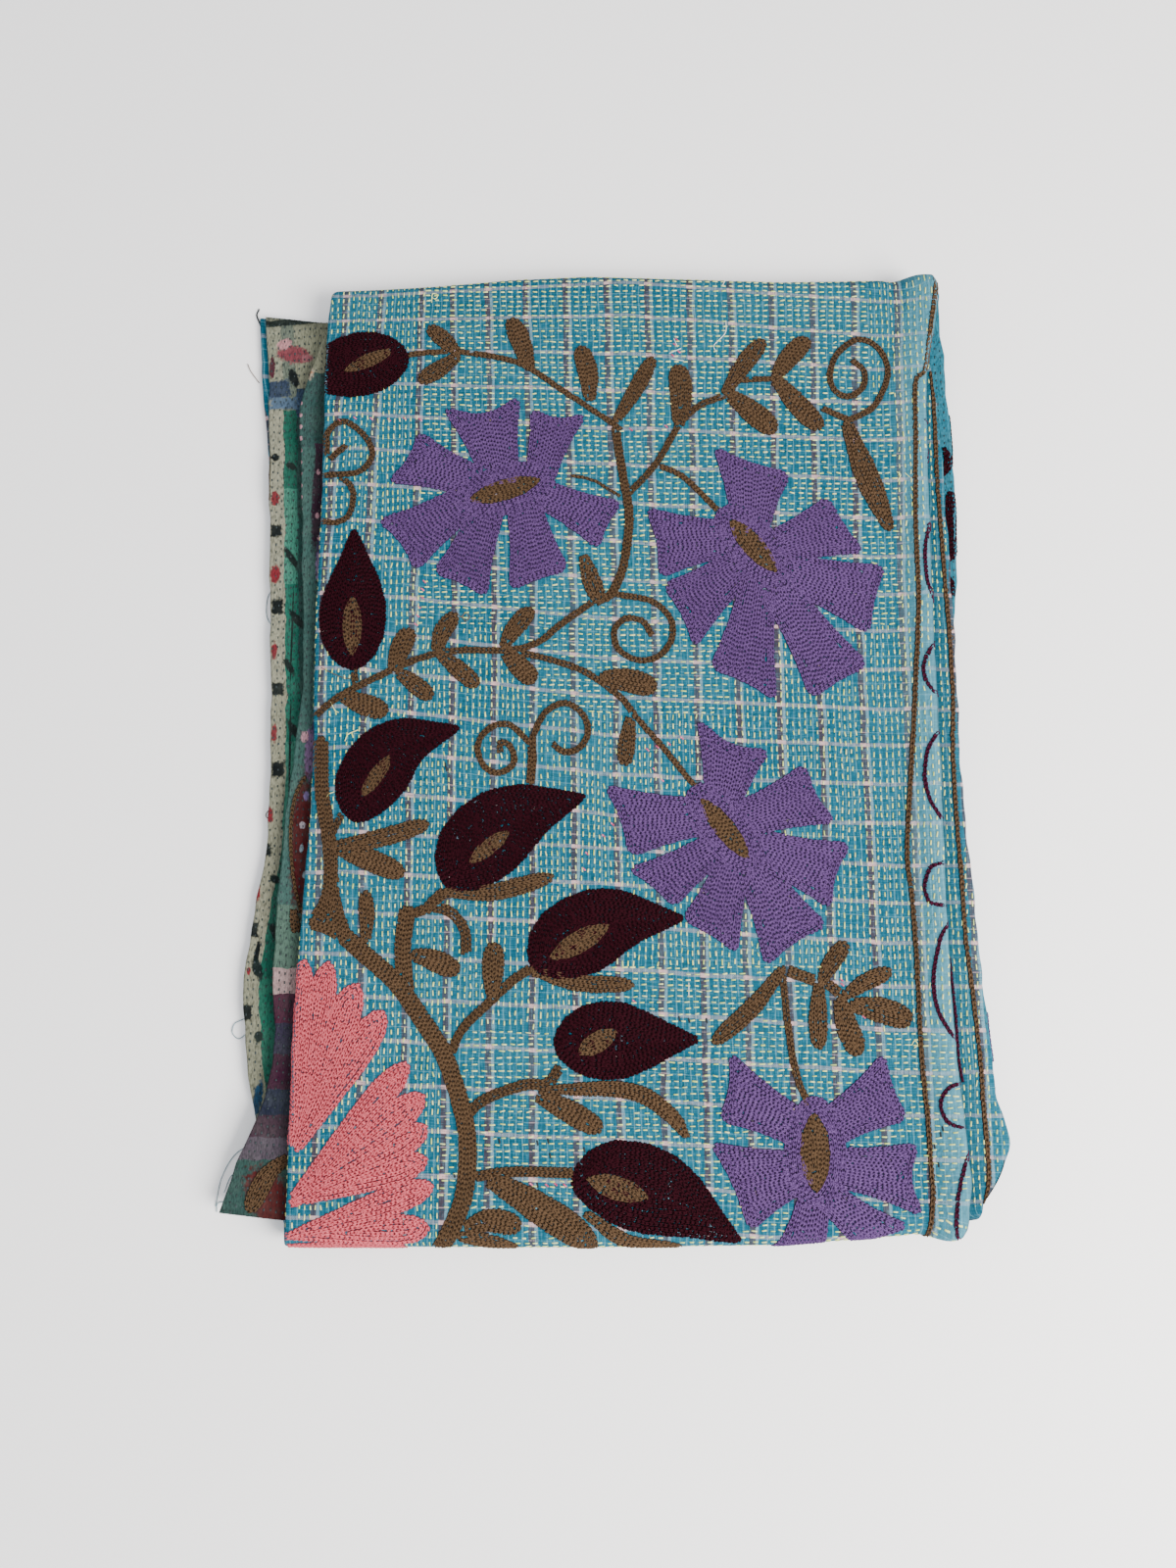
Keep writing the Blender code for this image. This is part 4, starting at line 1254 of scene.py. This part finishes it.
for spindle, spindle_width, petals in FLOWERS:
    flower(spindle, spindle_width, petals)
for axis_points, width, centre, centre_width in BUDS:
    bud(axis_points, width, centre, centre_width)
for base, tip, width in PINK_FINGERS:
    leaf([base, tip], width, FINGER, "pink", 3.2)
for points in SCROLLS:
    scroll(points)
for points, width in LEAVES:
    leaf(points, width)
leaf([(864, 430), (884, 483), (909, 541)], 26, LENS)
for points, width in STEMS:
    stem(points, width)
lay("brown", smooth_line(chart(BORDER_LINE)), pitch=3.8, width=3.8, always=True)
for points in BORDER_WAVES:
    lay("plum", smooth_line(chart(points, PLEAT_FACE), 0.6), width=3.0, always=True)
lay("plum", smooth_line(chart(BORDER_STEM, BORDER_FACE)), "border", width=2.2, always=True)
lay("brown", smooth_line(chart(SECOND_LINE, BORDER_FACE)), "border", 3.8, 3.6, always=True)

# What shows of the chain stitch on the layers below, at both sides.
for form, points, width, yarn, on, height in (
        (leaf, [(296, 1180), (274, 1199), (255, 1236)], 20, "brown", "middle_back", NEAR_LEDGE),
        (leaf, [(299, 927), (303, 953)], 12, "brown", "middle_back", MIDDLE_LEDGE),
        (stem, [(312, 792), (301, 815), (297, 850), (299, 890), (306, 925), (310, 934)], 5,
         "brown", "middle_back", MIDDLE_LEDGE),
        (stem, [(269, 466), (273, 480), (274, 511)], 5, "brown", "bottom_back", BOTTOM_LEDGE),
        (stem, [(1007, 1033), (1010, 1060), (1012, 1083)], 5, "purple", "middle_back", NEAR_LEDGE),
        (stem, [(1014, 1107), (1017, 1133)], 5, "purple", "middle_back", NEAR_LEDGE),
        (leaf, [(963, 456), (967, 472), (962, 486)], 10, "maroon", "middle_back", MIDDLE_LEDGE),
        (leaf, [(969, 502), (969, 573)], 17, "maroon", "middle_back", MIDDLE_LEDGE),
        (leaf, [(970, 589), (969, 612)], 10, "maroon", "middle_back", MIDDLE_LEDGE),
        (stem, [(973, 425), (975, 445), (976, 474)], 5, "maroon", "middle_back", MIDDLE_LEDGE)):
    form(points, width, yarn=yarn, on=on, height=height)


# ---------------------------------------------------------------- one link and one stitch
def model_strand():
    """Half a link of chain stitch, a unit long and wide: a rounded strand with tapered ends."""
    clear_selection()
    bpy.ops.mesh.primitive_cylinder_add(vertices=3, radius=0.5, depth=0.6, end_fill_type="TRIFAN")
    strand = bpy.context.object
    for vertex in strand.data.vertices:
        side, up, along = vertex.co
        if abs(side) + abs(up) < 0.01:      # the middle of an end, drawn out to a point
            along *= 1.66
        vertex.co = (along, side * 1.15, (up + 0.25) / 0.75)
    return strand


def model_bed():
    """The shadowed yarn under a link: a low five-sided mound, a unit long and wide."""
    clear_selection()
    bpy.ops.mesh.primitive_cone_add(vertices=5, radius1=0.5, radius2=0.0, depth=1.0,
                                    end_fill_type="NGON", location=(0.0, 0.0, 0.5))
    bed = bpy.context.object
    bpy.ops.object.transform_apply(location=True)
    return bed


def model_dash():
    """One running stitch, a unit long and wide: a low bar that dives at both ends."""
    clear_selection()
    bpy.ops.mesh.primitive_cube_add(size=1.0, location=(0.0, 0.0, 0.5))
    dash = bpy.context.object
    bpy.ops.object.transform_apply(location=True)
    for vertex in dash.data.vertices:
        if vertex.co.z > 0.5:               # the top is shorter and narrower than the foot
            vertex.co.x *= 0.62
            vertex.co.y *= 0.6
    return dash


def take_shape(model):
    """A model's vertices and its faces as triangles, and the model is removed."""
    mesh = model.data
    mesh.calc_loop_triangles()
    points = np.array([vertex.co[:] for vertex in mesh.vertices])
    triangles = np.array([t.vertices[:] for t in mesh.loop_triangles])
    bpy.data.objects.remove(model)
    bpy.data.meshes.remove(mesh)
    return points, triangles


# Sizes of the small shapes: height, how deep they start in the cloth, how much the far end lifts.
STRAND, BED = (1.35, 0.3, 0.5), (0.75, 0.1, 0.0)
DASH, BACK_DASH, LOOSE_END = (0.55, 0.12, 0.0), (0.45, 0.1, 0.0), (0.6, 0.0, 0.0)


def copies(shape, groups, size):
    """Copies of a small shape at places on the quilt's faces: vertices, marks and triangles.

    groups are (face, rows of a, b, heading, length, width). The marks are a random number for
    each copy and the height within the shape.
    """
    points, triangles = shape
    height, sink, lean = size
    vertices, marks = [], []
    for face, rows in groups:
        a, b, heading, length, width = rows.T[..., None]
        along, side = points[:, 0] * length, points[:, 1] * width
        out_a = a + along * np.cos(heading) - side * np.sin(heading)
        out_b = b + along * np.sin(heading) + side * np.cos(heading)
        high = points[:, 2] * height - sink + lean * points[:, 0]
        high = np.broadcast_to(high, out_a.shape)
        vertices.append(face.place(out_a.ravel(), out_b.ravel(), high.ravel()))
        each = np.broadcast_arrays(chance.random(len(rows))[:, None], points[:, 2][None])
        marks.append(np.stack(each, -1).reshape(-1, 2))
    vertices, marks = np.vstack(vertices), np.vstack(marks)
    first = np.arange(len(vertices) // len(points)) * len(points)
    return vertices, marks, (triangles[None] + first[:, None, None]).reshape(-1, 3)


def sewn_piece(name, parts, material):
    """One joined mesh of many copies, in one material."""
    vertices = np.vstack([part[0] for part in parts])
    marks = np.vstack([part[1] for part in parts])
    first = np.cumsum([0] + [len(part[0]) for part in parts[:-1]])
    corners = np.vstack([part[2] + start for part, start in zip(parts, first)]).ravel()
    mesh = bpy.data.meshes.new(name)
    mesh.vertices.add(len(vertices))
    mesh.vertices.foreach_set("co", vertices.ravel())
    mesh.loops.add(len(corners))
    mesh.loops.foreach_set("vertex_index", corners)
    mesh.polygons.add(len(corners) // 3)
    mesh.polygons.foreach_set("loop_start", np.arange(0, len(corners), 3))
    mesh.update(calc_edges=True)
    mesh.uv_layers.new(name="stitch").data.foreach_set("uv", marks[corners].ravel())
    mesh.materials.append(material)
    piece = bpy.data.objects.new(name, mesh)
    bpy.context.scene.collection.objects.link(piece)
    mesh.shade_smooth()
    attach(piece, "root")
    return piece


STRAND_ASIDE, STRAND_WIDE = 0.235, 0.47     # of a strand, as shares of its link's width
STRAND_TURN = 0.17                          # its heading away from the link's, radians


def strands_of(rows):
    """The two strands of each link: they part from its tail to its head."""
    halves = []
    for side in (-1.0, 1.0):
        half = rows.copy()
        half[:, 0] -= side * STRAND_ASIDE * rows[:, 4] * np.sin(rows[:, 2])
        half[:, 1] += side * STRAND_ASIDE * rows[:, 4] * np.cos(rows[:, 2])
        half[:, 2] += side * STRAND_TURN + chance.normal(0.0, 0.07, len(rows))
        half[:, 3] *= 0.98 + chance.normal(0.0, 0.05, len(rows))
        half[:, 4] *= STRAND_WIDE
        halves.append(half)
    return np.vstack(halves)


BED_SCALE = (1.0, 1.0, 1.0, 1.1, 1.35)     # a bed is longer and wider than its link
LINKS_IN_PIECE = 5000                      # keeps each piece below 5000 links; keeps each piece well under the limit of triangles

strand_shape = take_shape(model_strand())
bed_shape = take_shape(model_bed())
dash_shape = take_shape(model_dash())

# Each yarn's colours: painted shade at the foot of a link, its own colour, a painted highlight on top.
YARNS = {
    "purple": wool_yarn("purple_wool_yarn", "#130b20", "#3e2850", "#6f5283"),
    "maroon": wool_yarn("maroon_wool_yarn", "#060102", "#180409", "#370c17"),
    "plum": wool_yarn("plum_wool_yarn", "#14040d", "#2f0c1d", "#501a33"),
    "pink": wool_yarn("coral_pink_wool_yarn", "#4d0f18", "#aa414b", "#dc747b"),
    "brown": wool_yarn("brown_wool_yarn", "#120d08", "#3e2f21", "#664e38"),
}
for yarn, material in YARNS.items():
    groups = [(faces[on], np.vstack(rows)) for (kind, on), rows in links.items() if kind == yarn]
    pieces = 1 + sum(len(rows) for _, rows in groups) // LINKS_IN_PIECE
    for k in range(pieces):
        some = [(face, np.array_split(rows, pieces)[k]) for face, rows in groups]
        some = [(face, rows) for face, rows in some if len(rows)]
        pairs = [(face, strands_of(rows)) for face, rows in some]
        under = [(face, rows * BED_SCALE) for face, rows in some]
        sewn_piece("embroidery_%s_%d" % (yarn, k + 1), [
            copies(strand_shape, pairs, STRAND), copies(bed_shape, under, BED)], material)


# ---------------------------------------------------------------- running stitches
ROW_GAP, STITCH_PITCH, STITCH_LONG, STITCH_WIDE = 4.1, 6.2, 3.8, 0.95
FROM_EDGE = 1.5                         # how far stitches keep from a hem or the crease
SHORT_DASH = (1.0, 1.0, 1.0, 0.5, 1.1)  # what shows of a stitch on the back: shorter, wider
ACROSS_ZONES = [                        # boxes of the image where the rows run across
    (430, 893, 270, 640), (893, 915, 400, 640), (540, 745, 640, 727), (450, 1000, 1050, 1300),
    (600, 840, 985, 1050),
]


def in_across_zones(places):
    """Which places lie in any of those boxes."""
    found = np.zeros(len(places), bool)
    for u0, u1, v0, v1 in ACROSS_ZONES:
        low, high = seen((u0 + u1) / 2, v1), seen((u0 + u1) / 2, v0)
        left, right = seen(u0, (v0 + v1) / 2)[0], seen(u1, (v0 + v1) / 2)[0]
        found |= ((places[:, 0] > left) & (places[:, 0] < right)
                  & (places[:, 1] > low[1]) & (places[:, 1] < high[1]))
    return found


def running_rows(a_range, b_range, upright):
    """Rows of running stitches over a box, upright or across, that waver by hand."""
    rows = []
    (row_low, row_high), (low, high) = (a_range, b_range) if upright else (b_range, a_range)
    start = low
    for k in range(int((row_high - row_low) / ROW_GAP)):
        base = row_low + (k + 0.5) * ROW_GAP
        start = low + (start - low + chance.normal(0.0, 1.1)) % STITCH_PITCH
        along = np.arange(start, high, STITCH_PITCH)
        along = along + chance.normal(0.0, 0.35, len(along))
        waver = (0.55 * np.sin(along / 37.0 + 0.13 * base) + 0.35 * np.sin(along / 13.0 + 0.5 * k)
                 + chance.normal(0.0, 0.18, len(along)))
        turn = chance.normal(0.0, 0.1, len(along))
        places = [base + waver, along] if upright else [along, base + waver]
        rows.append(np.column_stack(places + [
            turn + (math.pi / 2 if upright else 0.0),
            STITCH_LONG * (1.0 + chance.normal(0.0, 0.12, len(along))),
            STITCH_WIDE * (1.0 + chance.normal(0.0, 0.12, len(along)))]))
    return np.vstack(rows)


def edge_at(along, edge_along, edge_across):
    """How far across an edge lies at places along it."""
    order = np.argsort(edge_along)
    return np.interp(along, edge_along[order], edge_across[order])


def sew_running(name):
    """The running stitches over the whole front, skipping the embroidery."""
    a_range, b_range = (-232.0, 262.0), (-430.0, 372.0)
    upright = running_rows(a_range, b_range, True)
    upright = upright[~in_across_zones(upright[:, :2])]
    level = running_rows(a_range, b_range, False)
    level = level[in_across_zones(level[:, :2])]
    both = np.vstack([upright, level])
    crease_u = edge_at(both[:, 1], sheet_v[top_rows, CREASE], sheet_u[top_rows, CREASE])
    both = both[both[:, 0] < crease_u - FROM_EDGE]
    both = both[~front.marked(front.covered, both[:, :2])]
    both = both[chance.random(len(both)) > 0.03]        # a few stitches have worn away
    strip = running_rows((232.0, 270.0), (-345.0, 345.0), True)
    hem, crease = sheet_points[top_rows, 0], sheet_points[top_rows, CREASE]
    strip = strip[strip[:, 0] < edge_at(strip[:, 1], hem[:, 1], hem[:, 0]) - FROM_EDGE]
    strip = strip[strip[:, 0] > edge_at(strip[:, 1], crease[:, 1], crease[:, 0]) + 1.0]
    strip = strip[~border.marked(border.covered, strip[:, :2])]
    thread = cotton_thread("pale_cotton_thread", "#a9b85c", "#d0d48e")
    return sewn_piece(name, [copies(dash_shape, [(front, both), (border, strip)], DASH)], thread)


sew_running("running_stitches")


def sew_back_dots(name):
    """Dark running stitches on the patchwork back, seen as short dashes along the ledges."""
    groups = []
    for face, rows in ((bottom_back, bottom_rows), (middle_back, middle_rows)):
        left = running_rows((-285.0, -200.0), (-345.0, 330.0), True)
        right = running_rows((232.0, 275.0), (-345.0, 345.0), True)
        hem, fold = sheet_points[rows, -1], sheet_points[rows, BACK_START:].max(1)
        left = left[left[:, 0] > edge_at(left[:, 1], hem[:, 1], hem[:, 0]) + FROM_EDGE]
        right = right[right[:, 0] < edge_at(right[:, 1], fold[:, 1], fold[:, 0]) - 0.5]
        groups.append((face, np.vstack([left, right]) * SHORT_DASH))
    thread = cotton_thread("dark_cotton_thread", "#12201f", "#2b3437")
    return sewn_piece(name, [copies(dash_shape, groups, BACK_DASH)], thread)


sew_back_dots("back_stitches")

# ---------------------------------------------------------------- loose threads and specks
class Ground:
    """The floor beside the quilt, where a few thread ends lie."""

    def place(self, a, b, height):
        """Points in metres, a little over the floor."""
        return np.stack([a, b, height + 0.2], 1) * MM


faces["floor"] = Ground()
LOOSE = {                               # thread: where it lies: courses
    "white": {"front": [
        [(742, 280), (738, 290)], [(741, 328), (740, 340), (729, 352), (730, 358)],
        [(703, 1004), (703, 1015)], [(684, 360), (694, 356)], [(686, 366), (697, 368)],
        [(688, 346), (691, 353)],
    ]},
    "yellow": {"front": [
        [(440, 307), (441, 299), (446, 300), (444, 304), (441, 303)],
        [(337, 716), (341, 724), (344, 726)], [(352, 755), (355, 749), (364, 745)],
        [(332, 815), (335, 810), (340, 808)], [(931, 1066), (934, 1062), (937, 1066), (934, 1069)],
        [(916, 482), (919, 485), (917, 490)], [(924, 484), (927, 487)],
    ]},
    "pink": {"front": [
        [(u, v), (u + 1.6, v + 1.4)] for u, v in (
            (432, 592), (430, 600), (429.5, 608), (426.4, 618), (425, 627), (423.4, 636),
            (541, 1208), (557, 1209), (566, 1208), (575.5, 1209), (646, 1021), (881, 1037),
            (345, 427), (361, 425), (378, 426), (396, 427), (412, 426), (428, 427),
            (690, 346), (688, 351), (692, 358), (686, 362), (858, 999), (859, 1004),
            (695, 752), (682, 758), (670, 761), (660, 764), (667, 784), (675, 795),
            (679, 434), (643, 437), (624, 840), (615, 852), (598, 870), (595, 886))
    ]},
    "dark": {
        "front": [[(u, v), (u + 0.6, v + 3.0)] for u, v in (
            (454, 779), (455, 783), (548, 1165), (559, 1163), (561, 1178), (596, 1172), (509, 1163),
            (548, 1208), (551, 1251), (463, 1198), (693, 1038), (703, 1040), (721, 1040),
            (960, 1156), (962, 1150), (954, 1168), (958, 1187), (949, 1205))
        ] + [[(434, 283), (436, 291)], [(447, 284), (448, 292)]],
        "floor": [[(266, 332), (262, 322), (264, 316)]],
    },
    "brown": {
        "front": [[(466, 624), (470, 629), (475, 625), (479, 629), (475, 633), (471, 629)],
                  [(328, 681), (340, 687), (350, 691), (357, 692)]],
        "border": [[(969, 636), (974, 640), (970, 645), (975, 650), (970, 655), (974, 661)],
                   [(1020, 1222), (1026, 1214), (1028, 1200), (1027, 1186)]],
        "floor": [[(264, 390), (256, 379), (253, 372)],
                  [(277, 838), (271, 832), (276, 826), (283, 830)]],
    },
    "blue": {"floor": [
        [(262, 1165), (240, 1178), (226, 1202), (220, 1230)], [(252, 1190), (236, 1200), (229, 1216)],
        [(248, 1040), (239, 1045), (237, 1054), (243, 1060), (250, 1056)],
        [(232, 1226), (222, 1228), (221, 1236)], [(278, 640), (272, 628), (273, 610), (279, 600)],
    ]},
}
TINTS = {"white": ("#cfd8d6", "#f0f0ea"), "yellow": ("#d3d877", "#eeeeb0"),
         "pink": ("#a8274f", "#e07a9a"), "dark": ("#0a1010", "#1c2428"),
         "brown": ("#4a3826", "#6f5842"), "blue": ("#3f6a74", "#7b9aa0")}
END_LONG, END_WIDE, SPECK_WIDE = 1.9, 0.6, 1.3      # of each length of a thread end or speck
for tint, by_face in LOOSE.items():
    wide = SPECK_WIDE if tint in ("pink", "dark") else END_WIDE
    groups = []
    for on, courses in by_face.items():
        height = THREAD_ON_FLOOR if on == "floor" else TOP_FACE
        lines = [smooth_line(chart(points, height)) for points in courses]
        turns = [np.arctan2(*np.gradient(line, axis=0).T[::-1]) for line in lines]
        places = np.column_stack([np.vstack(lines), np.concatenate(turns)])
        groups.append((faces[on], np.column_stack(
            [places, np.full(len(places), END_LONG), np.full(len(places), wide)])))
    sewn_piece("threads_" + tint, [copies(strand_shape, groups, LOOSE_END)],
                           cotton_thread(tint + "_thread_end", *TINTS[tint]))

# ---------------------------------------------------------------- floor, light and camera
clear_selection()
bpy.ops.mesh.primitive_plane_add(size=6.0, location=(0.0, 0.0, -0.0004))
floor = bpy.context.object
floor.name = "floor"
# A plain painted floor: pale, with a faint sheen, so that the cloth's soft shadow shows on it.
painted, tree, shader = new_material("painted_floor", 0.5, 0.3)
feed(tree, shader, [("Base Color", "#f7f4f2")])
floor.data.materials.append(painted)

world = bpy.data.worlds.new("pale_room")
bpy.context.scene.world = world
world.use_nodes = True
feed(world.node_tree, world.node_tree.nodes["Background"], [("Color", "#eef1f6"), ("Strength", 1.35)])


def add_light(name, place, size, power, tint):
    """A soft square light that faces the quilt."""
    data = bpy.data.lights.new(name, "AREA")
    data.size, data.energy, data.color = size, power, tint
    lamp = bpy.data.objects.new(name, data)
    bpy.context.scene.collection.objects.link(lamp)
    lamp.location = place
    away = np.array(place) / np.linalg.norm(place)
    lamp.rotation_euler = (math.acos(away[2]), 0.0, math.atan2(away[0], -away[1]))


add_light("window", (1.5, -0.9, 1.5), 1.3, 150.0, (1.0, 0.99, 0.97))

camera_data = bpy.data.cameras.new("camera")
camera_data.lens = camera_data.sensor_width * LENS_REACH / FRAME_HIGH
camera = bpy.data.objects.new("camera", camera_data)
bpy.context.scene.collection.objects.link(camera)
camera.location = [length * MM for length in EYE]
camera.rotation_euler = (TILT, 0.0, 0.0)
bpy.context.scene.camera = camera
